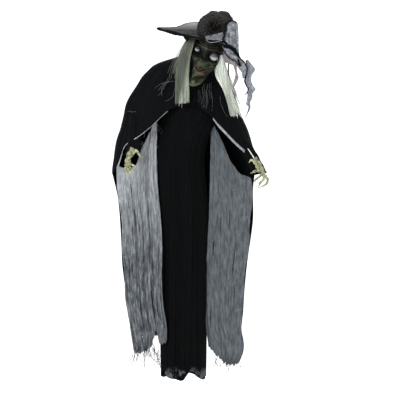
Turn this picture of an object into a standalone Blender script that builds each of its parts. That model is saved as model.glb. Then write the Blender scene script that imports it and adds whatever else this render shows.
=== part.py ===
"""Hanging animated witch figure: chest mechanism, turning head, posable arms and hanging cloth.

Metres, +Z up, the face looks along -Y. The origin is the middle of the hanging eye.
"""
import math

import bmesh
import bpy
from mathutils import Matrix, Vector

# ---------------------------------------------------------------- driving dimensions
GAP = 0.0003
RUNNING = 0.0003

EYE_RING_RADIUS = 0.019
EYE_WIRE_RADIUS = 0.004
ROD_RADIUS = 0.005
ROD_BOTTOM_Z = -0.297

CASE_WIDTH = 0.150
CASE_DEPTH = 0.110
CASE_HEIGHT = 0.195
CASE_WALL = 0.0025
CASE_TOP_Z = -0.232
CASE_BACK_Y = -0.055
CASE_CENTRE_X = -0.022
CASE_CORNER = 0.010
FLANGE_OVERHANG = 0.008
FLANGE_THICKNESS = 0.003
CASE_SCREW_RADIUS = 0.0015

NECK_Y = -0.120
NECK_ROD_RADIUS = 0.004
BUSH_RADIUS = 2 * NECK_ROD_RADIUS
COLLAR_RADIUS = 3 * NECK_ROD_RADIUS
NECK_WAY_RADIUS = 3 * NECK_ROD_RADIUS
NECK_ROD_BEND_Z = -0.205

GEAR_MODULE = 0.00125
NECK_TEETH = 36
IDLER_TEETH = 24
PINION_TEETH = 12
NECK_GEAR_THICKNESS = 0.006
IDLER_GEAR_THICKNESS = 0.005
PRESSURE_ANGLE = math.radians(25)
ADDENDUM = 0.8
DEDENDUM = 1.2
BACKLASH = 0.00022
PLATE_THICKNESS = 0.002
MOTOR_RADIUS = 0.012
MOTOR_LENGTH = 0.030
MOTOR_SHAFT_RADIUS = 0.0015
AXLE_RADIUS = 0.002

CELL_RADIUS = 0.00725
CELL_LENGTH = 0.0505
CELL_CLEARANCE = 0.0004
CELL_END_ROOM = 0.0017
TRAY_WALL = 0.0015
DOOR_THICKNESS = 0.002
DOOR_OVERLAP = 0.003
RAIL_WIDTH = 0.004
RAIL_LIP = 0.0017
SPEAKER_RADIUS = 0.025
MAGNET_RADIUS = 0.012
MICROPHONE_RADIUS = 0.005
SWITCH_TRAVEL = 0.005

BAR_RADIUS = 0.005
DISC_RADIUS = 0.009
PIN_RADIUS = 0.002
ARM_RADIUS = 0.004
WRIST_RADIUS = 0.011
WRIST_DEPTH = 0.022

HEAD_CENTRE = Vector((0.0727, -0.275, -0.1137))
HEAD_YAW, HEAD_ROLL, HEAD_PITCH = (math.radians(a) for a in (-17, 22, 18))
HEAD_HALF_WIDTH, HEAD_HALF_DEPTH, HEAD_HALF_HEIGHT = 0.088, 0.098, 0.120
CHIN_DROP = 0.055
MASK_THICKNESS = 0.003
EYE_RADIUS = 0.021
EYE_SPREAD = 0.048
EYE_HEIGHT = 0.020
HAT_RISE = 0.085
CROWN_RADIUS = 0.088
CROWN_HEIGHT = 0.145
BRIM_HOLE = 0.084

CLOTH = 0.004
DRESS_TOP_Z = -0.36
DRESS_HEM_Z = -1.740
CLOAK_HEM_Z = -1.52
YOKE_CENTRE_X = -0.0125
YOKE_HALF_WIDTH = 0.1375

SIDES = {
    "left": {
        "out": -1,
        "shoulder": Vector((-0.175, 0, -0.225)),
        "elbow": Vector((-0.300, -0.150, -0.430)),
        "wrist": Vector((-0.313, -0.225, -0.590)),
        "wing_inner": -0.215,
        "wing": [(-0.235, -0.262, 0.040), (-0.353, -0.343, 0.100), (-0.462, -0.368, 0.115),
                 (-0.551, -0.397, 0.115), (-0.715, -0.4165, 0.110)],
        "hems": (-0.700, -0.715, -0.460),
        "panel_inner": [(-0.470, -0.186), (-1.550, -0.186)],
        "panel_outer": [(-0.470, -0.340), (-0.695, -0.398), (-1.187, -0.368), (-1.600, -0.313)],
        "panel_hem": (-1.550, -1.600),
        "finger_reach": 0.100,
    },
    "right": {
        "out": 1,
        "shoulder": Vector((0.150, 0, -0.300)),
        "elbow": Vector((0.205, -0.150, -0.500)),
        "wrist": Vector((0.290, -0.225, -0.640)),
        "wing_inner": 0.185,
        "wing": [(-0.305, 0.200, 0.035), (-0.407, 0.2185, 0.075), (-0.497, 0.258, 0.105),
                 (-0.581, 0.283, 0.115), (-0.660, 0.305, 0.115)],
        "hems": (-0.650, -0.600, -0.530),
        "panel_inner": [(-0.550, 0.092), (-1.560, 0.092)],
        "panel_outer": [(-0.550, 0.225), (-0.735, 0.270), (-0.944, 0.283), (-1.187, 0.248), (-1.680, 0.213)],
        "panel_hem": (-1.570, -1.680),
        "finger_reach": 0.108,
    },
}

# ---------------------------------------------------------------- dependent sizes
SPLIT_Y = CASE_BACK_Y - 0.028
CASE_FRONT_Y = CASE_BACK_Y - CASE_DEPTH
CASE_BOTTOM_Z = CASE_TOP_Z - CASE_HEIGHT
CASE_LOW_X = CASE_CENTRE_X - CASE_WIDTH / 2
CASE_HIGH_X = CASE_CENTRE_X + CASE_WIDTH / 2
NECK_IDLER_DISTANCE = GEAR_MODULE * (NECK_TEETH + PINION_TEETH) / 2
IDLER_PINION_DISTANCE = GEAR_MODULE * (IDLER_TEETH + PINION_TEETH) / 2
IDLER_X = -NECK_IDLER_DISTANCE
PINION_X = IDLER_X - IDLER_PINION_DISTANCE
NECK_GEAR_TOP_Z = CASE_TOP_Z - CASE_WALL - 0.0105
NECK_GEAR_LOW_Z = NECK_GEAR_TOP_Z - NECK_GEAR_THICKNESS
IDLER_TOP_Z = NECK_GEAR_TOP_Z + 0.001
IDLER_STEP_Z = NECK_GEAR_LOW_Z - 0.001
IDLER_LOW_Z = IDLER_STEP_Z - IDLER_GEAR_THICKNESS
PLATE_TOP_Z = IDLER_LOW_Z - 0.003
PLATE_LOW_Z = PLATE_TOP_Z - PLATE_THICKNESS
CELL_PITCH = 2 * (CELL_RADIUS + CELL_CLEARANCE)
BAY_WIDTH = CELL_LENGTH + 2 * CELL_END_ROOM
BAY_HEIGHT = 3 * CELL_PITCH
BAY_CENTRE_Z = CASE_BOTTOM_Z + CASE_WALL + TRAY_WALL + BAY_HEIGHT / 2 + 0.028
TRAY_BACK_Y = CASE_BACK_Y - CASE_WALL - GAP
CELL_Y = TRAY_BACK_Y - 0.002 - CELL_RADIUS
DISC_THICKNESS = 2 * BAR_RADIUS + 0.003
BAR_LIFT = BAR_RADIUS + 0.0022
HEAD_FRAME = (Matrix.Translation(HEAD_CENTRE) @ Matrix.Rotation(HEAD_YAW, 4, "Z")
              @ Matrix.Rotation(HEAD_ROLL, 4, "Y") @ Matrix.Rotation(HEAD_PITCH, 4, "X"))
HAT_FRAME = HEAD_FRAME @ Matrix.Translation((0, 0, HAT_RISE))
for side_values in SIDES.values():
    side_values["shoulder"].y = SPLIT_Y

# ---------------------------------------------------------------- scene helpers
for old in list(bpy.data.objects):
    bpy.data.objects.remove(old, do_unlink=True)


def collection(name):
    found = bpy.data.collections.get(name) or bpy.data.collections.new(name)
    if name not in bpy.context.scene.collection.children:
        bpy.context.scene.collection.children.link(found)
    return found


PARTS = collection("animated_witch")
CUTTERS = collection("cutters")


def material(name, colour, roughness, metallic=0.0):
    made = bpy.data.materials.get(name) or bpy.data.materials.new(name)
    made.use_nodes = True
    shader = made.node_tree.nodes["Principled BSDF"]
    shader.inputs["Base Color"].default_value = (*colour, 1)
    shader.inputs["Roughness"].default_value = roughness
    shader.inputs["Metallic"].default_value = metallic
    return made


STEEL = material("steel", (0.55, 0.56, 0.58), 0.35, 1.0)
CASE_PLASTIC = material("black_plastic", (0.03, 0.03, 0.035), 0.5)
GEAR_PLASTIC = material("white_acetal", (0.85, 0.85, 0.80), 0.4)
CELL_JACKET = material("cell_jacket", (0.08, 0.20, 0.12), 0.35)
BOARD = material("circuit_board", (0.03, 0.18, 0.08), 0.45)
SKIN = material("mask_skin", (0.11, 0.14, 0.06), 0.6)
EYE_LENS = material("eye_lens", (0.75, 0.78, 0.76), 0.2)
HAIR = material("hair", (0.62, 0.66, 0.52), 0.6)
HAT_TULLE = material("hat_tulle", (0.06, 0.055, 0.05), 0.85)
GAUZE = material("gauze", (0.22, 0.24, 0.26), 0.9)
BLACK_CLOTH = material("black_cloth", (0.012, 0.014, 0.018), 0.85)
BONE = material("bone", (0.52, 0.50, 0.30), 0.55)


def finish(obj, smooth=True):
    if smooth:
        obj.data.shade_smooth()
        obj.data.set_sharp_from_angle(angle=math.radians(40))
    return obj


def add_mesh(name, mesh, look=None):
    obj = bpy.data.objects.new(name, mesh)
    if look is None:
        CUTTERS.objects.link(obj)
        obj.hide_render = True
        obj.display_type = "WIRE"
        return obj
    PARTS.objects.link(obj)
    mesh.materials.clear()
    mesh.materials.append(look)
    return finish(obj)


def from_bmesh(name, bm, look=None):
    mesh = bpy.data.meshes.new(name)
    bm.to_mesh(mesh)
    bm.free()
    return add_mesh(name, mesh, look)


def box(name, low, high, look=None):
    low, high = Vector(low), Vector(high)
    size = high - low
    bm = bmesh.new()
    place = Matrix.Translation((low + high) / 2) @ Matrix.Diagonal((*size, 1))
    bmesh.ops.create_cube(bm, size=1, matrix=place)
    return from_bmesh(name, bm, look)


def cylinder(name, radius, start, end, look=None, sides=24, end_radius=None):
    start, end = Vector(start), Vector(end)
    axis = end - start
    turn = axis.to_track_quat("Z", "Y").to_matrix().to_4x4()
    bm = bmesh.new()
    bmesh.ops.create_cone(bm, cap_ends=True, cap_tris=False, segments=sides, radius1=radius,
                          radius2=radius if end_radius is None else end_radius, depth=axis.length,
                          matrix=Matrix.Translation((start + end) / 2) @ turn)
    return from_bmesh(name, bm, look)


def curve_mesh(name, curve, look):
    """Turn a curve into a closed mesh object and drop the curve."""
    holder = bpy.data.objects.new(name + "_curve", curve)
    PARTS.objects.link(holder)
    bpy.context.view_layer.update()
    graph = bpy.context.evaluated_depsgraph_get()
    mesh = bpy.data.meshes.new_from_object(holder.evaluated_get(graph))
    mesh.name = name
    bm = bmesh.new()
    bm.from_mesh(mesh)
    bmesh.ops.remove_doubles(bm, verts=bm.verts, dist=0.00001)
    bmesh.ops.recalc_face_normals(bm, faces=bm.faces)
    bm.to_mesh(mesh)
    bm.free()
    bpy.data.objects.remove(holder, do_unlink=True)
    return add_mesh(name, mesh, look)


def rod(name, points, radius, look=None, taper=None, resolution=3):
    curve = bpy.data.curves.new(name, "CURVE")
    curve.dimensions = "3D"
    curve.bevel_depth = radius
    curve.bevel_resolution = resolution
    curve.use_fill_caps = True
    spline = curve.splines.new("POLY")
    spline.points.add(len(points) - 1)
    for index, point in enumerate(points):
        spline.points[index].co = (*point, 1)
        spline.points[index].radius = taper[index] if taper else 1
    return curve_mesh(name, curve, look)


def smooth_path(controls, steps):
    """Points on a Catmull-Rom curve through the control points."""
    controls = [Vector(c) for c in controls]
    ends = [2 * controls[0] - controls[1], *controls, 2 * controls[-1] - controls[-2]]
    points = []
    for a, b, c, d in zip(ends, ends[1:], ends[2:], ends[3:]):
        for step in range(steps):
            t = step / steps
            points.append(0.5 * (2 * b + (c - a) * t + (2 * a - 5 * b + 4 * c - d) * t * t
                                 + (3 * b - a - 3 * c + d) * t ** 3))
    points.append(controls[-1])
    return points


def combine(obj, other, operation):
    """Apply one exact Boolean and drop the other object when it is a joined piece."""
    change = obj.modifiers.new(operation.lower(), "BOOLEAN")
    change.operation = operation
    change.solver = "EXACT"
    change.object = other
    bpy.context.view_layer.update()
    graph = bpy.context.evaluated_depsgraph_get()
    made = bpy.data.meshes.new_from_object(obj.evaluated_get(graph))
    obj.modifiers.clear()
    obj.data = made
    bpy.data.objects.remove(other, do_unlink=True)
    return finish(obj)


def cut(obj, *cutters):
    for cutter in cutters:
        combine(obj, cutter, "DIFFERENCE")
    return obj


def join(obj, *others):
    for other in others:
        combine(obj, other, "UNION")
    return obj


def sheet(name, point, across, along, look, thickness=CLOTH, closed=False, cap=None, offset=0.0):
    """Soft piece: the open surface point(u, v), thickened by Solidify."""
    bm = bmesh.new()
    columns = across if closed else across + 1
    grid = [[bm.verts.new(point(i / across, j / along)) for i in range(columns)] for j in range(along + 1)]
    for low, high in zip(grid, grid[1:]):
        for i in range(across):
            k = (i + 1) % columns
            bm.faces.new((low[i], low[k], high[k], high[i]))
    if cap is not None:
        tip = bm.verts.new(cap)
        for i in range(across):
            bm.faces.new((grid[-1][i], grid[-1][(i + 1) % columns], tip))
    bmesh.ops.recalc_face_normals(bm, faces=bm.faces)
    obj = from_bmesh(name, bm, look)
    solid = obj.modifiers.new("thickness", "SOLIDIFY")
    solid.thickness = thickness
    solid.offset = offset
    solid.use_even_offset = True
    return obj


def between(table, level):
    """Value at a level in a short list of (level, value) pairs, straight between them."""
    for (z0, *low), (z1, *high) in zip(table, table[1:]):
        if level >= z1 or (z1, *high) == tuple(table[-1]):
            t = min(1.0, max(0.0, (level - z0) / (z1 - z0)))
            values = [a + (b - a) * t for a, b in zip(low, high)]
            return values[0] if len(values) == 1 else values


def mix(a, b, t):
    return a + (b - a) * t


# ---------------------------------------------------------------- hanging and chest mechanism
def make_hanger():
    bm = bmesh.new()
    ring_turn = Matrix.Rotation(math.pi / 2, 4, "X")
    bmesh.ops.create_circle(bm, segments=8, radius=EYE_WIRE_RADIUS,
                            matrix=Matrix.Translation((EYE_RING_RADIUS, 0, 0)) @ ring_turn)
    bmesh.ops.spin(bm, geom=bm.verts[:] + bm.edges[:], axis=(0, 0, 1), cent=(0, 0, 0), steps=20,
                   angle=2 * math.pi, use_merge=True)
    bmesh.ops.remove_doubles(bm, verts=bm.verts, dist=0.00001)
    bmesh.ops.transform(bm, matrix=ring_turn, verts=bm.verts)
    bmesh.ops.recalc_face_normals(bm, faces=bm.faces)
    from_bmesh("hanger_eye", bm, STEEL)
    top = -EYE_RING_RADIUS - EYE_WIRE_RADIUS - GAP
    cylinder("hanger_rod", ROD_RADIUS, (0, 0, ROD_BOTTOM_Z), (0, 0, top), STEEL, 16)


def make_clamp():
    low_z, high_z = ROD_BOTTOM_Z - 0.004, ROD_BOTTOM_Z + 0.036
    front = CASE_BACK_Y + GAP
    block = box("rod_clamp", (-0.016, front, low_z), (0.016, ROD_RADIUS + 0.007, high_z), CASE_PLASTIC)
    join(block, box("ears", (-0.030, front, low_z + 0.004), (0.030, front + 0.004, high_z - 0.004)))
    cut(block, cylinder("bore", ROD_RADIUS + GAP, (0, 0, ROD_BOTTOM_Z - GAP), (0, 0, high_z + 0.01),
                        sides=24))
    for side, x in (("left", -0.023), ("right", 0.023)):
        z = (low_z + high_z) / 2
        back = front + 0.004
        cut(block, cylinder("hole", CASE_SCREW_RADIUS + GAP, (x, front - 0.01, z), (x, back + 0.01, z),
                            sides=16))
        screw = cylinder("clamp_screw_" + side, CASE_SCREW_RADIUS,
                         (x, CASE_BACK_Y - CASE_WALL - 0.003, z), (x, back + 0.001, z), STEEL, 12)
        join(screw, cylinder("head", 2 * CASE_SCREW_RADIUS, (x, back + GAP, z), (x, back + 0.0025, z),
                             sides=16))


def case_block(name, inset, low_y, high_y, look=None):
    """Block with rounded upright corners, inset from the case's outer faces."""
    block = box(name, (CASE_LOW_X + inset, low_y, CASE_BOTTOM_Z + inset),
                (CASE_HIGH_X - inset, high_y, CASE_TOP_Z - inset), look)
    bm = bmesh.new()
    bm.from_mesh(block.data)
    upright = [e for e in bm.edges if abs(e.verts[0].co.x - e.verts[1].co.x) < 1e-6
               and abs(e.verts[0].co.z - e.verts[1].co.z) < 1e-6]
    bmesh.ops.bevel(bm, geom=upright, offset=max(CASE_CORNER - inset, 0.002), segments=3, profile=0.5,
                    affect="EDGES")
    bm.to_mesh(block.data)
    bm.free()
    return block


def bar_ends():
    """Ends of the sloping shoulder bar, each short of its disc's pin hole."""
    inset = 2 * PIN_RADIUS
    left = SIDES["left"]["shoulder"] + Vector((inset, 0, BAR_LIFT))
    right = SIDES["right"]["shoulder"] + Vector((-inset, 0, BAR_LIFT))
    return left, right


def screw_places():
    for x in (CASE_CENTRE_X - 0.05, CASE_CENTRE_X + 0.05):
        for z in (CASE_TOP_Z + FLANGE_OVERHANG / 2, CASE_BOTTOM_Z - FLANGE_OVERHANG / 2):
            yield x, z


def make_case():
    bore = CASE_SCREW_RADIUS + GAP
    for name, wall_y, inner_y, flange in (
            ("casing_front", CASE_FRONT_Y, CASE_FRONT_Y + CASE_WALL, -1),
            ("casing_back", CASE_BACK_Y, CASE_BACK_Y - CASE_WALL, 1)):
        face_y = SPLIT_Y + flange * GAP / 2
        half = case_block(name, 0, min(wall_y, face_y), max(wall_y, face_y), CASE_PLASTIC)
        flange_y = face_y + flange * FLANGE_THICKNESS
        low_corner = (CASE_LOW_X - FLANGE_OVERHANG, min(face_y, flange_y), CASE_BOTTOM_Z - FLANGE_OVERHANG)
        high_corner = (CASE_HIGH_X + FLANGE_OVERHANG, max(face_y, flange_y), CASE_TOP_Z + FLANGE_OVERHANG)
        join(half, box("flange", low_corner, high_corner))
        open_y = face_y - flange * 0.01
        cut(half, case_block("hollow", CASE_WALL, min(inner_y, open_y), max(inner_y, open_y)))
        cut(half, cylinder("bar_way", BAR_RADIUS + GAP, *bar_ends(), sides=20))
        for x, z in screw_places():
            cut(half, cylinder("hole", bore, (x, SPLIT_Y - 0.01, z), (x, SPLIT_Y + 0.01, z), sides=16))
        if flange < 0:
            cut(half, cylinder("neck_hole", BUSH_RADIUS + GAP, (0, NECK_Y, CASE_TOP_Z - 0.01),
                               (0, NECK_Y, CASE_TOP_Z + 0.01)))
            cut(half, box("switch_slot", (CASE_CENTRE_X - 0.006, NECK_Y - 0.003, CASE_BOTTOM_Z - 0.01),
                          (CASE_CENTRE_X + 0.006 + SWITCH_TRAVEL, NECK_Y + 0.003, CASE_BOTTOM_Z + 0.01)))
        else:
            make_door_side(half)
    for index, (x, z) in enumerate(screw_places(), 1):
        head_y = SPLIT_Y + GAP / 2 + FLANGE_THICKNESS + GAP
        screw = cylinder(f"casing_screw_{index}", CASE_SCREW_RADIUS,
                         (x, SPLIT_Y - FLANGE_THICKNESS - 0.003, z), (x, head_y + 0.001, z), STEEL, 12)
        join(screw, cylinder("head", 2 * CASE_SCREW_RADIUS, (x, head_y, z), (x, head_y + 0.002, z),
                             sides=16))


def door_edges():
    half_width = BAY_WIDTH / 2 + DOOR_OVERLAP
    return CASE_CENTRE_X - half_width, CASE_CENTRE_X + half_width


def make_door_side(half):
    """Battery opening and the two lipped rails that the battery door slides in."""
    low_x, high_x = door_edges()
    top = BAY_CENTRE_Z + BAY_HEIGHT / 2 + DOOR_OVERLAP
    low = CASE_BOTTOM_Z + 0.001
    lip_y = CASE_BACK_Y + GAP + DOOR_THICKNESS + GAP
    for edge, out in ((low_x, -1), (high_x, 1)):
        inner = edge + out * GAP
        outer = edge + out * RAIL_WIDTH
        lip = edge - out * 0.002
        join(half, box("rail", (min(inner, outer), CASE_BACK_Y - 0.001, low),
                       (max(inner, outer), lip_y + RAIL_LIP, top)))
        join(half, box("lip", (min(lip, outer), lip_y, low), (max(lip, outer), lip_y + RAIL_LIP, top)))
    cut(half, box("bay", (CASE_CENTRE_X - BAY_WIDTH / 2, CASE_BACK_Y - 0.01, BAY_CENTRE_Z - BAY_HEIGHT / 2),
                  (CASE_CENTRE_X + BAY_WIDTH / 2, CASE_BACK_Y + 0.01, BAY_CENTRE_Z + BAY_HEIGHT / 2)))
    middle = ROD_BOTTOM_Z + 0.016
    for x in (-0.023, 0.023):
        cut(half, cylinder("hole", CASE_SCREW_RADIUS + GAP, (x, CASE_BACK_Y - 0.01, middle),
                           (x, CASE_BACK_Y + 0.01, middle), sides=16))
    door = box("battery_door", (low_x, CASE_BACK_Y + GAP, BAY_CENTRE_Z - BAY_HEIGHT / 2 - DOOR_OVERLAP),
               (high_x, CASE_BACK_Y + GAP + DOOR_THICKNESS, top), CASE_PLASTIC)
    grip_z = BAY_CENTRE_Z + BAY_HEIGHT / 2 - 0.006
    join(door, box("grip", (CASE_CENTRE_X - 0.012, CASE_BACK_Y + DOOR_THICKNESS - 0.0005, grip_z),
                   (CASE_CENTRE_X + 0.012, CASE_BACK_Y + DOOR_THICKNESS + 0.0025, grip_z + 0.004)))


def make_batteries():
    half_x, half_z = BAY_WIDTH / 2 + TRAY_WALL, BAY_HEIGHT / 2 + TRAY_WALL
    front = CELL_Y - CELL_RADIUS - CELL_CLEARANCE - TRAY_WALL
    tray = box("battery_tray", (CASE_CENTRE_X - half_x, front, BAY_CENTRE_Z - half_z),
               (CASE_CENTRE_X + half_x, TRAY_BACK_Y, BAY_CENTRE_Z + half_z), CASE_PLASTIC)
    cut(tray, box("hollow", (CASE_CENTRE_X - BAY_WIDTH / 2, front + TRAY_WALL, BAY_CENTRE_Z - BAY_HEIGHT / 2),
                  (CASE_CENTRE_X + BAY_WIDTH / 2, TRAY_BACK_Y + 0.01, BAY_CENTRE_Z + BAY_HEIGHT / 2)))
    for index in range(3):
        z = BAY_CENTRE_Z + (1 - index) * CELL_PITCH
        way = -1 if index % 2 else 1
        base = Vector((CASE_CENTRE_X - way * CELL_LENGTH / 2, CELL_Y, z))
        shoulder = base + Vector((way * (CELL_LENGTH - 0.001), 0, 0))
        tip = base + Vector((way * CELL_LENGTH, 0, 0))
        cell = cylinder(f"battery_cell_{index + 1}", CELL_RADIUS, base, shoulder, CELL_JACKET, 20)
        join(cell, cylinder("nub", 0.0027, shoulder - Vector((way * 0.002, 0, 0)), tip, sides=12))


def make_electronics():
    inner_y = CASE_FRONT_Y + CASE_WALL + GAP
    speaker = Vector((CASE_HIGH_X - CASE_WALL - SPEAKER_RADIUS - 0.006, inner_y, CASE_BOTTOM_Z + 0.052))
    cone = cylinder("speaker", SPEAKER_RADIUS, speaker, speaker + Vector((0, 0.006, 0)), CASE_PLASTIC, 20)
    join(cone, cylinder("magnet", MAGNET_RADIUS, speaker + Vector((0, 0.005, 0)),
                        speaker + Vector((0, 0.016, 0)), sides=20))
    sensor = Vector((CASE_CENTRE_X - 0.040, inner_y, PLATE_LOW_Z - 0.050))
    cylinder("microphone", MICROPHONE_RADIUS, sensor, sensor + Vector((0, 0.006, 0)), STEEL, 16)
    board_x = CASE_LOW_X + CASE_WALL + 0.006
    board_y = NECK_Y - 0.012
    box("circuit_board", (board_x, board_y, CASE_BOTTOM_Z + 0.030),
        (board_x + 0.070, board_y + 0.0016, CASE_BOTTOM_Z + 0.095), BOARD)
    slide_z = CASE_BOTTOM_Z + CASE_WALL + GAP
    knob = box("switch_slide", (CASE_CENTRE_X - 0.012, NECK_Y - 0.006, slide_z),
               (CASE_CENTRE_X + 0.012, NECK_Y + 0.006, slide_z + 0.004), GEAR_PLASTIC)
    join(knob, box("stem", (CASE_CENTRE_X - 0.0055, NECK_Y - 0.0025, CASE_BOTTOM_Z - 0.003),
                   (CASE_CENTRE_X + 0.0055, NECK_Y + 0.0025, slide_z + 0.001)))


# ---------------------------------------------------------------- gears
def gear_outline(teeth, phase):
    """Involute tooth outline with straight roots, as points round the centre."""
    pitch = GEAR_MODULE * teeth / 2
    base = pitch * math.cos(PRESSURE_ANGLE)
    root = pitch - DEDENDUM * GEAR_MODULE
    tip = pitch + ADDENDUM * GEAR_MODULE
    half = math.pi / (2 * teeth) - BACKLASH / (2 * pitch)

    def involute(radius):
        angle = math.acos(min(1.0, base / radius))
        return math.tan(angle) - angle

    start = max(base, root)
    radii = [start + (tip - start) * t for t in (0.0, 0.5, 1.0)]
    sides = [(radius, half + involute(pitch) - involute(radius)) for radius in radii]
    if root < base:
        sides.insert(0, (root, sides[0][1]))
    outline = []
    for tooth in range(teeth):
        middle = phase + 2 * math.pi * tooth / teeth
        outline += [(r, middle - a) for r, a in sides] + [(r, middle + a) for r, a in reversed(sides)]
    return [(r * math.cos(a), r * math.sin(a)) for r, a in outline]


def gear(name, teeth, x, low_z, high_z, look=None, phase=0.0):
    curve = bpy.data.curves.new(name, "CURVE")
    curve.dimensions = "2D"
    curve.fill_mode = "BOTH"
    curve.extrude = (high_z - low_z) / 2
    outline = gear_outline(teeth, phase)
    spline = curve.splines.new("POLY")
    spline.points.add(len(outline) - 1)
    for index, point in enumerate(outline):
        spline.points[index].co = (*point, 0, 1)
    spline.use_cyclic_u = True
    wheel = curve_mesh(name, curve, look)
    wheel.data.transform(Matrix.Translation((x, NECK_Y, (low_z + high_z) / 2)))
    return wheel


def make_gear_train():
    half_tooth = math.pi / PINION_TEETH
    upright = Vector((0, 0, 1))
    neck = gear("neck_gear", NECK_TEETH, 0, NECK_GEAR_LOW_Z, NECK_GEAR_TOP_Z, GEAR_PLASTIC)
    centre = Vector((0, NECK_Y, NECK_GEAR_LOW_Z))
    cut(neck, cylinder("bore", NECK_ROD_RADIUS + GAP, centre - 0.01 * upright, centre + 0.02 * upright))
    idler = gear("idler_gear", IDLER_TEETH, IDLER_X, IDLER_LOW_Z, IDLER_STEP_Z, GEAR_PLASTIC)
    join(idler, gear("upper", PINION_TEETH, IDLER_X, IDLER_STEP_Z - 0.001, IDLER_TOP_Z, GEAR_PLASTIC,
                     half_tooth))
    centre = Vector((IDLER_X, NECK_Y, IDLER_LOW_Z))
    cut(idler, cylinder("bore", AXLE_RADIUS + RUNNING, centre - 0.01 * upright, centre + 0.03 * upright))
    axle = cylinder("idler_axle", AXLE_RADIUS, centre - (centre.z - PLATE_LOW_Z + 0.001) * upright,
                    (IDLER_X, NECK_Y, IDLER_TOP_Z + 0.001), STEEL, 16)
    join(axle, cylinder("head", 1.8 * AXLE_RADIUS, (IDLER_X, NECK_Y, PLATE_LOW_Z - 0.002),
                        (IDLER_X, NECK_Y, PLATE_LOW_Z - GAP), sides=16))
    pinion = gear("motor_pinion", PINION_TEETH, PINION_X, IDLER_LOW_Z - 0.0005, IDLER_STEP_Z + 0.0005,
                  STEEL, half_tooth)
    join(pinion, cylinder("shaft", MOTOR_SHAFT_RADIUS, (PINION_X, NECK_Y, PLATE_LOW_Z - 0.008),
                          (PINION_X, NECK_Y, IDLER_LOW_Z), sides=16))
    motor = cylinder("motor", MOTOR_RADIUS, (PINION_X, NECK_Y, PLATE_LOW_Z - GAP - MOTOR_LENGTH),
                     (PINION_X, NECK_Y, PLATE_LOW_Z - GAP), STEEL, 24)
    cut(motor, cylinder("bore", MOTOR_SHAFT_RADIUS + RUNNING, (PINION_X, NECK_Y, PLATE_LOW_Z - 0.010),
                        (PINION_X, NECK_Y, PLATE_LOW_Z + 0.01), sides=16))
    plate = box("gear_plate", (CASE_LOW_X + CASE_WALL + GAP, CASE_FRONT_Y + CASE_WALL + GAP, PLATE_LOW_Z),
                (CASE_HIGH_X - CASE_WALL - GAP, SPLIT_Y - BAR_RADIUS - 0.006, PLATE_TOP_Z), STEEL)
    for x, radius in ((0, NECK_ROD_RADIUS + RUNNING), (IDLER_X, AXLE_RADIUS + GAP),
                      (PINION_X, MOTOR_SHAFT_RADIUS + RUNNING)):
        cut(plate, cylinder("hole", radius, (x, NECK_Y, PLATE_LOW_Z - 0.01), (x, NECK_Y, PLATE_TOP_Z + 0.01)))


def make_neck():
    bush = cylinder("neck_bush", BUSH_RADIUS, (0, NECK_Y, NECK_GEAR_TOP_Z + 0.0015),
                    (0, NECK_Y, CASE_TOP_Z + 0.002), GEAR_PLASTIC)
    join(bush, cylinder("collar", COLLAR_RADIUS, (0, NECK_Y, CASE_TOP_Z + GAP),
                        (0, NECK_Y, CASE_TOP_Z + 0.003)))
    cut(bush, cylinder("bore", NECK_ROD_RADIUS + RUNNING, (0, NECK_Y, CASE_TOP_Z - 0.03),
                       (0, NECK_Y, CASE_TOP_Z + 0.02)))
    bottom = Vector((0, NECK_Y, PLATE_LOW_Z - 0.003))
    bend = Vector((0, NECK_Y, NECK_ROD_BEND_Z))
    inside = HEAD_FRAME @ Vector((0, 0.030, -0.010))
    lower_bend = Vector((0.002, NECK_Y - 0.004, NECK_ROD_BEND_Z + 0.016))
    halfway = lower_bend.lerp(inside, 0.45)
    rod("neck_rod", [bottom, *smooth_path([bend, lower_bend, halfway, inside], 4)], NECK_ROD_RADIUS, STEEL)
    return halfway, inside


# ---------------------------------------------------------------- head
def head_point(direction):
    """Witch head surface in its own frame: long chin, narrow jaw, brow and hooked nose."""
    x = HEAD_HALF_WIDTH * direction.x
    y = HEAD_HALF_DEPTH * direction.y
    z = HEAD_HALF_HEIGHT * direction.z
    low = max(0.0, -direction.z)
    front = max(0.0, -direction.y)
    behind = max(0.0, direction.y)
    x *= 1 - 0.50 * low * low
    z -= CHIN_DROP * low ** 3 * (1 - behind)
    z += 0.045 * low * min(1.0, behind * 2)
    y -= 0.050 * low ** 3
    nose = math.exp(-((x / 0.016) ** 2) - ((z + 0.030) / 0.026) ** 2)
    y -= 0.048 * nose * min(1.0, 2 * front)
    y -= 0.010 * front * math.exp(-(((z - 0.052) / 0.014) ** 2))
    return Vector((x, y, z))


def eye_centre(side):
    return Vector((side * EYE_SPREAD, -0.072, EYE_HEIGHT))


def head_solid(name, scale, look=None):
    """Closed head form in the head's own frame, at a share of its full size."""
    bm = bmesh.new()
    bmesh.ops.create_uvsphere(bm, u_segments=20, v_segments=15, radius=1,
                              matrix=Matrix.Rotation(math.pi / 2, 4, "X"))
    for vert in bm.verts:
        vert.co = head_point(vert.co.copy()) * scale
    return from_bmesh(name, bm, look)


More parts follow.
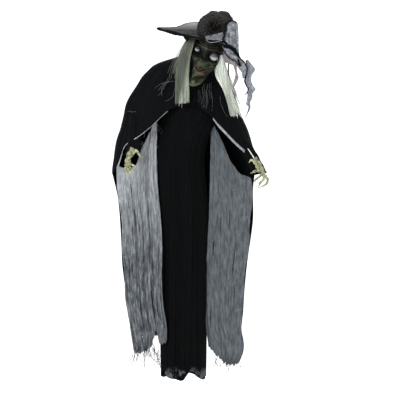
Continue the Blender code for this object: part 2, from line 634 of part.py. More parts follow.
def make_head(neck_from, neck_to):
    """Front mask and rear shell, parted on the head's own upright plane, and the two lit eyes."""
    to_head = HEAD_FRAME.inverted()
    neck_low, neck_high = to_head @ neck_from, to_head @ neck_to
    way = (neck_high - neck_low).normalized()
    for name, keep in (("face_mask", -1), ("head_back", 1)):
        shell = head_solid(name, 1.0, SKIN)
        cut(shell, head_solid("hollow", 1 - MASK_THICKNESS / HEAD_HALF_WIDTH))
        near, far = -keep * 0.4, keep * GAP / 2
        cut(shell, box("other_half", (-0.3, min(near, far), -0.4), (0.3, max(near, far), 0.4)))
        if keep < 0:
            for side in (-1, 1):
                hole = eye_centre(side)
                cut(shell, cylinder("socket", EYE_RADIUS + 2 * GAP, hole - Vector((0, 0.06, 0)),
                                    hole + Vector((0, 0.05, 0)), sides=20))
        else:
            cut(shell, cylinder("neck_way", NECK_WAY_RADIUS, neck_low - 0.02 * way, neck_high + 0.004 * way,
                                sides=20))
        shell.data.transform(HEAD_FRAME)
    for name, side in (("eye_left", -1), ("eye_right", 1)):
        bm = bmesh.new()
        bmesh.ops.create_uvsphere(bm, u_segments=14, v_segments=9, radius=EYE_RADIUS,
                                  matrix=HEAD_FRAME @ Matrix.Translation(eye_centre(side)))
        from_bmesh(name, bm, EYE_LENS)


def brim_shape(angle, outward):
    """Brim surface in the hat frame; the left side juts out, the right side folds down."""
    side, cross = math.cos(angle), math.sin(angle)
    reach_side, drop_side = (0.185, -0.096) if side > 0 else (0.315, -0.092)
    reach_cross, drop_cross = (0.160, -0.020) if cross > 0 else (0.140, 0.004)
    reach = reach_side * side * side + reach_cross * cross * cross
    drop = drop_side * side * side + drop_cross * cross * cross
    radius = mix(BRIM_HOLE, reach, outward)
    ripple = 0.006 * outward * math.sin(5 * angle)
    return Vector((radius * side, radius * cross, drop * outward ** 1.3 + ripple))


def make_hat():
    sheet("hat_brim", lambda u, v: HAT_FRAME @ brim_shape(2 * math.pi * u, v), 28, 3, HAT_TULLE, 0.003,
          closed=True)

    def crown(u, v):
        angle = 2 * math.pi * u
        radius = mix(CROWN_RADIUS, 0.020, v ** 1.6) * (1 + 0.06 * v * math.sin(5 * angle))
        lean = Vector((-0.030, 0, 0)) * v * v
        return HAT_FRAME @ (Vector((radius * math.cos(angle), radius * math.sin(angle),
                                    0.006 + (CROWN_HEIGHT - 0.016) * v)) + lean)

    tip = HAT_FRAME @ Vector((-0.030, 0, CROWN_HEIGHT - 0.006))
    sheet("hat_crown", crown, 18, 5, HAT_TULLE, 0.003, closed=True, cap=tip)

    def wrap(u, v):
        bulge = 0.012 * math.sin(math.pi * u)
        place = (mix(0.082, 0.140, v) + bulge, mix(-0.060, 0.050, u), mix(0.075, -0.018, v))
        return HAT_FRAME @ Vector(place)

    sheet("hat_wrap", wrap, 6, 6, GAUZE, 0.003)
    make_strip("hat_ribbon", (0.218, -0.330, -0.195), (0.232, -0.325, -0.330), 0.014, BLACK_CLOTH)
    make_strip("hat_streamer", (0.262, -0.320, -0.160), (0.270, -0.315, -0.428), 0.036, GAUZE)


def make_strip(name, top, bottom, width, look, thickness=0.003):
    """Hanging strip with a slow wave, flat to the front."""
    top, bottom = Vector(top), Vector(bottom)

    def strip(u, v):
        point = top.lerp(bottom, v)
        point.x += width * (u - 0.5) + 0.004 * math.sin(3 * math.pi * v)
        point.y += 0.004 * math.sin(4 * math.pi * v)
        return point

    return sheet(name, strip, 2, 8, look, thickness)


def make_hair():
    make_strip("hair_left", (-0.066, -0.268, -0.070), (-0.074, -0.262, -0.358), 0.058, HAIR, 0.010)
    make_strip("hair_right", (0.176, -0.318, -0.205), (0.196, -0.310, -0.420), 0.060, HAIR, 0.010)
    make_strip("hair_back", (0.085, -0.120, -0.075), (0.070, -0.100, -0.160), 0.110, HAIR, 0.010)


# ---------------------------------------------------------------- arms and hands
def pinned_disc(name, axis, low_z, high_z, look=None):
    return cylinder(name, DISC_RADIUS, (axis.x, axis.y, low_z), (axis.x, axis.y, high_z), look)


def make_pin(name, axis, headed):
    """Pivot pin through both discs; an elbow's pin has no head because the rods pass over its ends."""
    top = axis.z + DISC_THICKNESS + GAP
    shank_top = top + 0.001 if headed else top - GAP
    pin = cylinder(name, PIN_RADIUS, (axis.x, axis.y, axis.z - GAP - DISC_THICKNESS),
                   (axis.x, axis.y, shank_top),
                   STEEL, 16)
    if headed:
        head_low = Vector((axis.x, axis.y, top))
        join(pin, cylinder("head", 2.2 * PIN_RADIUS, head_low, head_low + Vector((0, 0, 0.002)), sides=16))


def pin_hole(axis):
    return cylinder("pin_hole", PIN_RADIUS + RUNNING, (axis.x, axis.y, axis.z - 0.030),
                    (axis.x, axis.y, axis.z + 0.030), sides=20)


def make_shoulder_bar():
    bar = cylinder("shoulder_bar", BAR_RADIUS, *bar_ends(), STEEL, 20)
    for values in SIDES.values():
        axis = values["shoulder"]
        join(bar, pinned_disc("disc", axis, axis.z, axis.z + DISC_THICKNESS))
        cut(bar, pin_hole(axis))
    for side, values in SIDES.items():
        make_pin("shoulder_pin_" + side, values["shoulder"], True)


def make_arm(side, values):
    shoulder, elbow, wrist = values["shoulder"], values["elbow"], values["wrist"]
    start = shoulder - Vector((0, 0, GAP + DISC_THICKNESS / 2 + 0.001))
    end = elbow + Vector((0, 0, ARM_RADIUS + 0.002))
    upper = rod("upper_arm_" + side, [start, start.lerp(end, 0.5), end], ARM_RADIUS, STEEL)
    join(upper, pinned_disc("disc", shoulder, shoulder.z - GAP - DISC_THICKNESS, shoulder.z - GAP))
    join(upper, pinned_disc("disc", elbow, elbow.z, elbow.z + DISC_THICKNESS))
    cut(upper, pin_hole(shoulder), pin_hole(elbow))
    make_pin("elbow_pin_" + side, elbow, False)

    fore_start = elbow - Vector((0, 0, GAP + DISC_THICKNESS / 2 + 0.001))
    along = (wrist - fore_start).normalized()
    fore_end = wrist + along * (WRIST_DEPTH - 0.001)
    forearm = cylinder("forearm_" + side, ARM_RADIUS, fore_start, fore_end, STEEL, 16)
    join(forearm, pinned_disc("disc", elbow, elbow.z - GAP - DISC_THICKNESS, elbow.z - GAP))
    cut(forearm, pin_hole(elbow))
    return fore_start, fore_end


def make_hand(side, values, fore_start, fore_end):
    """Bony claw hand on the end of the forearm rod: a wrist, a palm, four fingers and a thumb."""
    along = (fore_end - fore_start).normalized()
    wrist = values["wrist"]
    out = values["out"]
    reach = values["finger_reach"]
    hand = cylinder("hand_" + side, WRIST_RADIUS * 0.85, wrist, wrist + 0.034 * along, BONE, 16, WRIST_RADIUS)
    palm_low = wrist + 0.028 * along
    palm = rod("palm", [palm_low, palm_low + Vector((0, -0.006, -0.016)),
                        palm_low + Vector((0, -0.010, -0.032))],
               0.017, None, (0.7, 1.0, 0.85), 2)
    join(hand, palm)
    knuckle = palm_low + Vector((0, -0.006, -0.014))
    for finger in range(4):
        spread = out * (finger - 1.5) * 0.016
        length = reach * (1 - 0.10 * abs(finger - 1.5))
        base = knuckle + Vector((spread * 0.45, 0, -0.002))
        bend = base + Vector((spread * 0.9, -0.022, -0.30 * length))
        last = base + Vector((spread * 1.5, -0.024, -0.58 * length))
        tip = base + Vector((spread * 1.7, -0.006, -0.84 * length))
        join(hand, rod("finger", [base, bend, last, tip], 0.0065, None, (1.0, 0.85, 0.65, 0.20), 2))
    thumb_base = knuckle + Vector((-out * 0.008, -0.004, 0.004))
    thumb = [thumb_base, thumb_base + Vector((-out * 0.018, -0.022, -0.014)),
             thumb_base + Vector((-out * 0.024, -0.026, -0.036)),
             thumb_base + Vector((-out * 0.020, -0.014, -0.054))]
    join(hand, rod("thumb", thumb, 0.0065, None, (1.0, 0.85, 0.65, 0.20), 2))
    cut(hand, cylinder("bore", ARM_RADIUS + RUNNING, wrist - 0.02 * along, wrist + WRIST_DEPTH * along,
                       sides=20))


# ---------------------------------------------------------------- cloth
def wing_hem(values, u):
    back, side, front = values["hems"]
    if u <= 0.5:
        return mix(back, side, u * 2)
    return mix(side, front, min(1.0, (u - 0.5) / 0.2))


def make_wing(side, values):
    """Black cape over one arm: half a bell, open to the body and below."""
    table = values["wing"]
    inner = values["wing_inner"]
    top = table[0][0]

    def wing(u, v):
        z = mix(top, wing_hem(values, u), v)
        outer, depth = between(table, z)
        swing = math.pi * u
        fold = 0.003 * v * math.sin(9 * swing)
        reach = (outer - inner) * math.sin(swing)
        return Vector((inner + reach * (1 + fold), -0.100 + depth * math.cos(swing), z))

    sheet("cloak_" + side, wing, 14, 6, BLACK_CLOTH)


def make_panel(side, values):
    top = values["panel_inner"][0][0]
    hem_inner, hem_outer = values["panel_hem"]

    def panel(u, v):
        z = mix(top, mix(hem_inner, hem_outer, u), v)
        x = mix(between(values["panel_inner"], z), between(values["panel_outer"], z), u)
        return Vector((x, -0.128 + 0.003 * math.sin(4 * math.pi * u), z))

    sheet("panel_" + side, panel, 8, 6, GAUZE)


def make_yoke():
    """Shoulder cape: from the neck opening down over the chest and back, higher over the arms."""
    def yoke(u, v):
        angle = 2 * math.pi * u
        side, cross = math.cos(angle), math.sin(angle)
        top = Vector((0.075 * side, -0.085 + 0.105 * cross, 0))
        top.z = -0.205 - 0.24 * top.x
        square = Vector((math.copysign(abs(side) ** 0.5, side), math.copysign(abs(cross) ** 0.5, cross), 0))
        low = Vector((YOKE_CENTRE_X + YOKE_HALF_WIDTH * square.x, -0.095 + 0.130 * square.y, 0))
        dip = abs(cross) ** 1.5
        low.z = mix(-0.240 - 0.26 * low.x, -0.380, dip)
        wide = v ** 0.6
        return Vector((mix(top.x, low.x, wide), mix(top.y, low.y, wide), mix(top.z, low.z, v ** 1.3)))

    sheet("cloak_yoke", yoke, 24, 5, BLACK_CLOTH, closed=True)


def make_dress():
    """Two half tubes, front and back, with shallow gathers."""
    table = [(DRESS_TOP_Z, YOKE_CENTRE_X, 0.1500, 0.098), (-0.440, YOKE_CENTRE_X, 0.1500, 0.098),
             (-0.530, -0.0475, 0.1175, 0.085), (DRESS_HEM_Z, -0.0550, 0.1080, 0.080)]
    for name, start in (("dress_front", math.pi), ("dress_back", 0.0)):
        def half(u, v, start=start):
            angle = start + math.radians(2) + math.radians(176) * u
            z = mix(DRESS_TOP_Z, DRESS_HEM_Z, v)
            centre, width, depth = between(table, z)
            gather = 1 + 0.02 * math.sin(6 * angle)
            return Vector((centre + width * math.cos(angle), -0.105 + depth * gather * math.sin(angle), z))

        sheet(name, half, 14, 6, BLACK_CLOTH, 0.003)


def make_cloak_back():
    def back(u, v):
        x = mix(-0.160, 0.130, u)
        return Vector((x, 0.040 - 0.028 * ((x + 0.015) / 0.145) ** 2, mix(-0.400, CLOAK_HEM_Z, v)))

    sheet("cloak_back", back, 12, 6, BLACK_CLOTH)


# ---------------------------------------------------------------- joints
def axis_empty(name, place, nodes):
    """Empty on a joint axis that carries the nodes of the moving body."""
    empty = bpy.data.objects.new(name, None)
    empty.location = place
    PARTS.objects.link(empty)
    for node in nodes:
        obj = bpy.data.objects[node]
        obj.parent = empty
        obj.matrix_parent_inverse = Matrix.Translation(place).inverted()


def make_axes(wrists):
    axis_empty("axis_head_turn", Vector((0, NECK_Y, CASE_TOP_Z)), [
        "neck_rod", "neck_gear", "head_back", "face_mask", "eye_left", "eye_right", "hair_left", "hair_right",
        "hair_back", "hat_brim", "hat_crown", "hat_wrap", "hat_ribbon", "hat_streamer"])
    axis_empty("axis_idler", Vector((IDLER_X, NECK_Y, IDLER_LOW_Z)), ["idler_gear"])
    axis_empty("axis_pinion", Vector((PINION_X, NECK_Y, IDLER_LOW_Z)), ["motor_pinion"])
    axis_empty("axis_door", Vector((CASE_CENTRE_X, CASE_BACK_Y, BAY_CENTRE_Z)), ["battery_door"])
    axis_empty("axis_switch", Vector((CASE_CENTRE_X, NECK_Y, CASE_BOTTOM_Z)), ["switch_slide"])
    for side, values in SIDES.items():
        axis_empty("axis_shoulder_" + side, values["shoulder"],
                   ["upper_arm_" + side, "elbow_pin_" + side, "cloak_" + side, "panel_" + side])
        axis_empty("axis_elbow_" + side, values["elbow"], ["forearm_" + side])
        axis_empty("axis_wrist_" + side, wrists[side], ["hand_" + side])


def build():
    make_hanger()
    make_clamp()
    make_case()
    make_batteries()
    make_electronics()
    make_gear_train()
    neck_from, neck_to = make_neck()
    make_head(neck_from, neck_to)
    make_hat()
    make_hair()
    make_shoulder_bar()
    wrists = {}
    for side, values in SIDES.items():
        fore_start, fore_end = make_arm(side, values)
        make_hand(side, values, fore_start, fore_end)
        wrists[side] = values["wrist"]
        make_wing(side, values)
        make_panel(side, values)
    make_yoke()
    make_dress()
    make_cloak_back()
    make_axes(wrists)


build()
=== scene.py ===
"""Hanging animated witch: cloth, gauze, mask, hair and hands on the mechanical frame."""
import math

import bmesh
import bpy
import numpy as np
from mathutils import Matrix, Vector


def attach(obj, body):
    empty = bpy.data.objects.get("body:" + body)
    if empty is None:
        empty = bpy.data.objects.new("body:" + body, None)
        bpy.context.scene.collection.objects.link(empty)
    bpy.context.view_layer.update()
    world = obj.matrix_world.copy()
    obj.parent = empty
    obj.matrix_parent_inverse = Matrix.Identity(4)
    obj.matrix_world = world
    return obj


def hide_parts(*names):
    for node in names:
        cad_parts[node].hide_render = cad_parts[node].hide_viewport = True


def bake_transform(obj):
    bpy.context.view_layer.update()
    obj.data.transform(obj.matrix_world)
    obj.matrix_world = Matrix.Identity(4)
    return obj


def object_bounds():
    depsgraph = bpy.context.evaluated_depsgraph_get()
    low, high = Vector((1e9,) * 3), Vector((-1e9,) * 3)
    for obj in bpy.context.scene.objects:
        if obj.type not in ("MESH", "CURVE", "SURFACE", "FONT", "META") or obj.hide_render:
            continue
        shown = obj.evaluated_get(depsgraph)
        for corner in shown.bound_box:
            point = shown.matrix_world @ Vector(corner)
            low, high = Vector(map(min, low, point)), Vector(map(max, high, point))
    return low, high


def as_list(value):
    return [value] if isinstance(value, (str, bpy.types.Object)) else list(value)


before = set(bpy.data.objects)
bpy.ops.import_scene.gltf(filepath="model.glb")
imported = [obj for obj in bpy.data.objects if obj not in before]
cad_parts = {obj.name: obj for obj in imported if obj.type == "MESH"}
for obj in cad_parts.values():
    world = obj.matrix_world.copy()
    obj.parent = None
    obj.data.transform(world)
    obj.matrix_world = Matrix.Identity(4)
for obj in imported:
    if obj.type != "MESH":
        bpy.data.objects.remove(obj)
cad_low, cad_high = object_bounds()

# ---------------------------------------------------------------- shared places, metres
HEAD_TURN = (Matrix.Translation((0.0727, -0.275, -0.1137)) @ Matrix.Rotation(math.radians(-17), 4, "Z")
             @ Matrix.Rotation(math.radians(22), 4, "Y") @ Matrix.Rotation(math.radians(18), 4, "X"))
HAT_TURN = HEAD_TURN @ Matrix.Translation((0, 0, 0.085))
FLOOR_Z = cad_low.z - 0.06
VIEW_CENTRE = Vector((0.0199, -0.15, -0.844))
VIEW_DISTANCE = 30.0
VIEW_WIDTH = 1.987
SHOULDER_Y = -0.088
NECK_LEVEL = -0.130
ROUNDING = 0.9  # power under 1 that fills out the cape's cross section
CAPE_WALL = 0.0016
CLOTH_WALL = 0.0012
STRIP_WALL = 0.0008
CLOTH_THREADS = 700  # weave scales, threads over the piece's own metres
GAUZE_THREADS = 520
NET_THREADS = 900
LOOSE_THREAD_RADIUS = 0.0010
TAPE_COLUMNS = 4  # a tape's table has four columns, any other strip's has five
MASK_HALF_TURN = math.radians(102)
MASK_TOP, MASK_HEIGHT = 0.090, 0.268
CROWN_X, CROWN_Y, CROWN_Z = 0.0990, -0.312, -0.030
CHEST_FRONT = -0.262
FULL_TURN = 2 * math.pi


def rows(text):
    """Table of numbers, in metres unless said: commas part the rows and spaces the columns."""
    return [tuple(map(float, row.split())) for row in text.split(",")]


def tables(text):
    """Several such tables, parted by semicolons."""
    return [rows(part) for part in text.split(";")]


def joined(x, y, z):
    """Columns of x, y and z as one row of three per point."""
    return np.stack([x, y, z], 1)


def bend_with_arm(obj):
    """Bake the piece's place into its mesh."""
    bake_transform(obj)


# ---------------------------------------------------------------- camera, light and floor
def aim(obj, target):
    way = Vector(target) - obj.location
    obj.rotation_euler = way.to_track_quat("-Z", "Y").to_euler()


def place_in_scene(name, data, place, target):
    obj = bpy.data.objects.new(name, data)
    obj.location = place
    bpy.context.scene.collection.objects.link(obj)
    aim(obj, target)
    return obj


def set_inputs(node, **values):
    """Set sockets by name; an underscore in a keyword stands for a space."""
    for name, value in values.items():
        node.inputs[name.replace("_", " ")].default_value = value


def make_stage():
    camera = bpy.data.cameras.new("camera")
    camera.lens = 36 * VIEW_DISTANCE / VIEW_WIDTH
    scene = bpy.context.scene
    scene.camera = place_in_scene("camera", camera, VIEW_CENTRE + Vector((0, -VIEW_DISTANCE, 0)), VIEW_CENTRE)
    world = bpy.data.worlds.new("studio")
    world.use_nodes = True
    set_inputs(world.node_tree.nodes["Background"], Color=(1, 1, 1, 1), Strength=0.38)
    scene.world = world
    scene.view_settings.view_transform = "Standard"
    for name, place, size, power in (("key", (-2.4, -4.2, 1.6), 1.5, 215),
                                     ("fill", (3.4, -3.6, 0.4), 2.4, 55),
                                     ("top", (0.2, -0.8, 3.2), 2.4, 85), ("back", (0.6, 2.6, 1.2), 2.0, 60)):
        light = bpy.data.lights.new(name, "AREA")
        light.energy = power
        light.size = size
        place_in_scene(name, light, place, (0.0, -0.1, -0.7))
    for name, place, turn, size, glow in (("floor", (0, 1.0, FLOOR_Z), (0, 0, 0), 14, 0.80),
                                          ("backdrop", (0, 40.0, 8.0), (math.pi / 2, 0, 0), 40, 1.0)):
        bpy.ops.object.select_all(action="DESELECT")
        bpy.ops.mesh.primitive_plane_add(size=size, location=place, rotation=turn)
        sweep = bpy.context.object
        sweep.name = name
        pale = bpy.data.materials.new("pale_" + name)
        pale.use_nodes = True
        set_inputs(pale.node_tree.nodes["Principled BSDF"], Base_Color=(0.9, 0.9, 0.9, 1), Roughness=0.9,
                   Specular_IOR_Level=0.1, Emission_Color=(1, 1, 1, 1), Emission_Strength=glow)
        sweep.data.materials.append(pale)


# ---------------------------------------------------------------- material kit
class Finish:
    """One Principled material and short calls that add its nodes."""

    def __init__(self, name, colour, roughness, metallic=0.0, sheen=0.0, specular=0.5):
        self.material = bpy.data.materials.new(name)
        self.material.use_nodes = True
        self.tree = self.material.node_tree
        self.shader = self.tree.nodes["Principled BSDF"]
        set_inputs(self.shader, Base_Color=(*colour, 1), Roughness=roughness, Metallic=metallic,
                   Sheen_Weight=sheen, Specular_IOR_Level=specular)
        self.place = self.tree.nodes.new("ShaderNodeTexCoord")

    def node(self, kind, **values):
        made = self.tree.nodes.new("ShaderNode" + kind)
        for key, value in values.items():
            setattr(made, key, value)
        return made

    def link(self, source, target):
        self.tree.links.new(source, target)

    def axis(self, name, output="Object"):
        """One coordinate of the piece's place."""
        made = self.node("SeparateXYZ")
        self.link(self.place.outputs[output], made.inputs[0])
        return made.outputs[name]

    def span(self, value, start=0.0, end=1.0, first=0.0, last=1.0):
        """Value between start and end, clamped and mapped to run from first to last."""
        made = self.node("MapRange")
        set_inputs(made, From_Min=start, From_Max=end, To_Min=first, To_Max=last)
        self.link(value, made.inputs["Value"])
        return made.outputs["Result"]

    def space(self, output="Object", scale=(1, 1, 1)):
        mapping = self.node("Mapping")
        mapping.inputs["Scale"].default_value = scale
        self.link(self.place.outputs[output], mapping.inputs["Vector"])
        return mapping.outputs["Vector"]

    def noise(self, scale, detail=4.0, stretch=(1, 1, 1), output="Object", rough=0.55):
        made = self.node("TexNoise")
        set_inputs(made, Scale=scale, Detail=detail, Roughness=rough)
        self.link(self.space(output, stretch), made.inputs["Vector"])
        return made.outputs["Fac"]

    def wave(self, scale, direction, output="UV", stretch=(1, 1, 1), distortion=0.6):
        made = self.node("TexWave", wave_type="BANDS", bands_direction=direction)
        set_inputs(made, Scale=scale, Distortion=distortion, Detail=1.0)
        self.link(self.space(output, stretch), made.inputs["Vector"])
        return made.outputs["Fac"]

    def ramp(self, value, *stops):
        made = self.node("ValToRGB")
        band = made.color_ramp
        while len(band.elements) < len(stops):
            band.elements.new(0.5)
        for element, (place, colour) in zip(band.elements, stops):
            element.position = place
            element.color = (*colour, 1)
        self.link(value, made.inputs["Fac"])
        return made.outputs["Color"]

    def blend(self, factor, first, second, how="MIX"):
        made = self.node("Mix", data_type="RGBA", blend_type=how)
        for value, slot in ((factor, 0), (first, 6), (second, 7)):
            if isinstance(value, (float, int)):
                made.inputs[slot].default_value = value
            elif isinstance(value, tuple):
                made.inputs[slot].default_value = (*value, 1)
            else:
                self.link(value, made.inputs[slot])
        return made.outputs[2]

    def maths(self, how, first, second=0.5):
        made = self.node("Math", operation=how)
        for slot, value in enumerate((first, second)):
            if isinstance(value, (float, int)):
                made.inputs[slot].default_value = value
            else:
                self.link(value, made.inputs[slot])
        return made.outputs[0]

    def times(self, first, second):
        return self.maths("MULTIPLY", first, second)

    def colour(self, value):
        self.link(value, self.shader.inputs["Base Color"])

    def overlay(self, factor, colour):
        """Lay a colour over the one already made, as far as factor says."""
        self.colour(self.blend(factor, self.shader.inputs["Base Color"].links[0].from_socket, colour))

    def rough(self, value, low, high):
        self.link(self.span(value, first=low, last=high), self.shader.inputs["Roughness"])

    def bump(self, value, strength, distance):
        made = self.node("Bump")
        set_inputs(made, Strength=strength, Distance=distance)
        self.link(value, made.inputs["Height"])
        last = self.shader.inputs["Normal"]
        if last.is_linked:
            self.link(last.links[0].from_socket, made.inputs["Normal"])
        self.link(made.outputs["Normal"], last)


# ---------------------------------------------------------------- finishes
def woven_cloth(name, dark, light, thread, sheen, folds=120):
    """Plain woven cloth: threads both ways on the piece's own metres, slow streaks down its length."""
    made = Finish(name, light, 0.9, sheen=sheen, specular=0.06)
    streak = made.noise(folds, 5, (1, 0.06, 1), "UV")
    patch = made.noise(7, 4)
    tone = made.ramp(streak, (0.30, dark), (0.72, light))
    made.colour(made.blend(made.times(patch, 0.5), tone, dark))
    made.bump(made.times(made.wave(thread, "X"), made.wave(thread, "Y")), 0.25, 0.0006)
    made.bump(streak, 0.35, 0.0015)
    made.rough(streak, 0.78, 0.97)
    return made


def make_dress_cloth():
    """The same black cloth, worn thinner and greyer towards the hem."""
    made = woven_cloth("dress_cloth", (0.0004, 0.0005, 0.0006), (0.0024, 0.0029, 0.0035), CLOTH_THREADS,
                       0.004, 170)
    low = made.span(made.axis("Z"), -1.670, -1.715, last=1.3)
    patch = made.ramp(made.noise(28, 4), (0.50, (0, 0, 0)), (0.58, (1, 1, 1)))
    made.overlay(made.times(low, patch), (0.070, 0.076, 0.082))
    return made


def make_grey_gauze(name, dark, middle, light, pale_top):
    """Crinkled cheesecloth: thread streaks broken by crinkles, white slubs, a paler ragged top."""
    made = Finish(name, middle, 0.95, sheen=0.01, specular=0.08)
    streak = made.noise(90, 6, (1, 0.055, 1), "UV", 0.70)
    crinkle = made.noise(48, 6, (1, 0.34, 1), "UV", 0.72)
    fine = made.noise(330, 3, (1, 0.045, 1), "UV", 0.6)
    mixed = made.maths("ADD", made.times(streak, 0.40), made.times(crinkle, 0.60))
    tone = made.ramp(mixed, (0.39, dark), (0.50, middle), (0.62, light))
    slub = made.ramp(fine, (0.58, (0, 0, 0)), (0.74, (0.8, 0.8, 0.8)))
    high = made.span(made.axis("Z"), -1.15, -0.60, 0.12, pale_top)
    made.colour(made.blend(made.times(high, made.maths("ADD", slub, crinkle)), tone, (0.50, 0.53, 0.56)))
    made.bump(made.times(made.wave(GAUZE_THREADS, "X"), made.wave(GAUZE_THREADS, "Y")), 0.4, 0.0008)
    made.bump(mixed, 0.9, 0.005)
    made.rough(fine, 0.85, 1.0)
    return made


# ---------------------------------------------------------------- piece kit
def fold_noise(seed, *waves):
    """Smooth repeatable fold pattern: sums of slow waves across, each wandering down the length."""
    draw = np.random.default_rng(seed)
    parts = [(count, size, draw.uniform(0, FULL_TURN), draw.uniform(0.5, 1.6), draw.uniform(0, FULL_TURN))
             for count, size in waves]

    def pattern(u, v):
        total = 0
        for count, size, phase, wander, start in parts:
            sway = 0.55 * np.sin(wander * FULL_TURN * v + start)
            total = total + size * np.sin(FULL_TURN * count * u + phase + sway) * (
                0.75 + 0.25 * np.sin(3.1 * v + start))
        return total

    return pattern


def along(table, value):
    """Smooth curve through (value, result) pairs, values rising."""
    keys = np.array([row[0] for row in table], float)
    results = np.array([row[1] for row in table], float)
    slopes = np.gradient(results, keys)
    value = np.clip(value, keys[0], keys[-1])
    cell = np.clip(np.searchsorted(keys, value, side="right") - 1, 0, len(keys) - 2)
    span = keys[cell + 1] - keys[cell]
    t = (value - keys[cell]) / span
    h00, h10 = (1 + 2 * t) * (1 - t) ** 2, t * (1 - t) ** 2
    h01, h11 = t * t * (3 - 2 * t), t * t * (t - 1)
    return (h00 * results[cell] + h10 * span * slopes[cell]
            + h01 * results[cell + 1] + h11 * span * slopes[cell + 1])


def ease(value, low, high):
    t = np.clip((value - low) / (high - low), 0, 1)
    return t * t * (3 - 2 * t)


def alone(obj):
    bpy.ops.object.select_all(action="DESELECT")
    obj.select_set(True)
    bpy.context.view_layer.objects.active = obj
    return obj


def settle(obj, name, finish, smooth=True):
    """Apply place and modifiers, name the piece and give it its finish."""
    alone(obj)
    bpy.ops.object.transform_apply(location=True, rotation=True, scale=True)
    for modifier in list(obj.modifiers):
        bpy.ops.object.modifier_apply(modifier=modifier.name)
    obj.name = name
    obj.data.name = name
    obj.data.materials.clear()
    obj.data.materials.append(finish.material)
    if smooth:
        bpy.ops.object.shade_smooth()
    return obj


def cloth(name, across, down, place, finish, wall=CLOTH_WALL, size=(1, 1), keep=None, paint=None, weld=False):
    """Thin piece: a flat grid moved to place(u, v); u runs across and v down the cut piece.

    keep(u, v) leaves out holes, paint(u, v) gives each point a colour named tint, weld closes a seam.
    size is the piece's width and length for the weave, in metres."""
    bpy.ops.object.select_all(action="DESELECT")
    bpy.ops.mesh.primitive_grid_add(x_subdivisions=across, y_subdivisions=down, size=2)
    obj = bpy.context.object
    flat = np.empty(len(obj.data.vertices) * 3)
    obj.data.vertices.foreach_get("co", flat)
    flat = flat.reshape(-1, 3)
    u, v = (flat[:, 0] + 1) / 2, (1 - flat[:, 1]) / 2
    x, y, z = place(u, v)
    moved = np.stack([x + 0 * u, y + 0 * u, z + 0 * u], 1)
    obj.data.vertices.foreach_set("co", moved.ravel())
    uv = np.empty(len(obj.data.loops) * 2)
    layer = obj.data.uv_layers.active
    layer.data.foreach_get("uv", uv)
    uv = uv.reshape(-1, 2) * np.array(size)
    layer.data.foreach_set("uv", uv.ravel())
    if paint is not None:
        tint = obj.data.color_attributes.new("tint", "FLOAT_COLOR", "POINT")
        tint.data.foreach_set("color", np.concatenate([paint(u, v), np.ones((len(u), 1))], 1).ravel())
    if keep is not None or weld:
        bm = bmesh.new()
        bm.from_mesh(obj.data)
        bm.verts.ensure_lookup_table()
        if keep is not None:
            lost = [face for face in bm.faces
                    if not keep(*np.mean([(u[w.index], v[w.index]) for w in face.verts], axis=0))]
            bmesh.ops.delete(bm, geom=lost, context="FACES")
        if weld:
            bmesh.ops.remove_doubles(bm, verts=bm.verts, dist=0.00002)
        bm.to_mesh(obj.data)
        bm.free()
    solid = obj.modifiers.new("thickness", "SOLIDIFY")
    solid.thickness = wall
    solid.offset = 0
    return settle(obj, name, finish)


def strands(name, paths, radius, finish, sides=0, tapers=None):
    """Bundle of threads or hairs: one curve with a thin bevel, made a mesh."""
    curve = bpy.data.curves.new(name, "CURVE")
    curve.dimensions = "3D"
    curve.bevel_depth = radius
    curve.bevel_resolution = sides
    curve.use_fill_caps = True
    for number, path in enumerate(paths):
        spline = curve.splines.new("POLY")
        spline.points.add(len(path) - 1)
        for index, point in enumerate(path):
            spline.points[index].co = (*point, 1)
            spline.points[index].radius = tapers[number][index] if tapers else 1.0
    obj = bpy.data.objects.new(name, curve)
    bpy.context.scene.collection.objects.link(obj)
    alone(obj)
    bpy.ops.object.convert(target="MESH")
    return settle(bpy.context.object, name, finish, smooth=sides > 0)


# ---------------------------------------------------------------- black cape over both arms
LEFT_EDGE = rows("""
    -1.56 -.3, -1.3 -.352, -1.187 -.3676, -.983 -.3775, -.775 -.4, -.715 -.417, -.636 -.4098,
    -.551 -.397, -.462 -.3676, -.3527 -.343, -.278 -.298, -.2086 -.248, -.159 -.1788, -.14 -.12,
    -.13 -.085""")
RIGHT_EDGE = rows("""
    -1.56 .215, -1.475 .2285, -1.187 .25, -1.063 .268, -.944 .283, -.735 .285, -.66 .3, -.631 .298,
    -.581 .283, -.497 .258, -.407 .2185, -.33 .196, -.2732 .1788, -.235 .15, -.205 .11, -.18 .08""")
LEFT_HEM = rows("""
    -.417 -.715, -.397 -.685, -.3626 -.596, -.343 -.566, -.298 -.541, -.2285 -.4768, -.1987 -.457,
    -.139 -.402, -.05 -.375, .01 -.37""")
RIGHT_HEM = rows("-.01 -.37, .05 -.41, .0844 -.437, .139 -.4967, .2185 -.571, .288 -.628, .305 -.66")
CAPE_DEPTH = rows("-1.56 .07, -1 .085, -.6 .112, -.35 .118, -.24 .112, -.17 .098, -.13 .08")


def front_reach(level):
    """How far the cape's front stands before the shoulder line, fuller over the bent arms."""
    arm = 0.022 * np.exp(-((level + 0.555) / 0.085) ** 2)
    return along(CAPE_DEPTH, level) * 1.10 + 0.036 * (1 - ease(level, -0.44, -0.27)) + arm


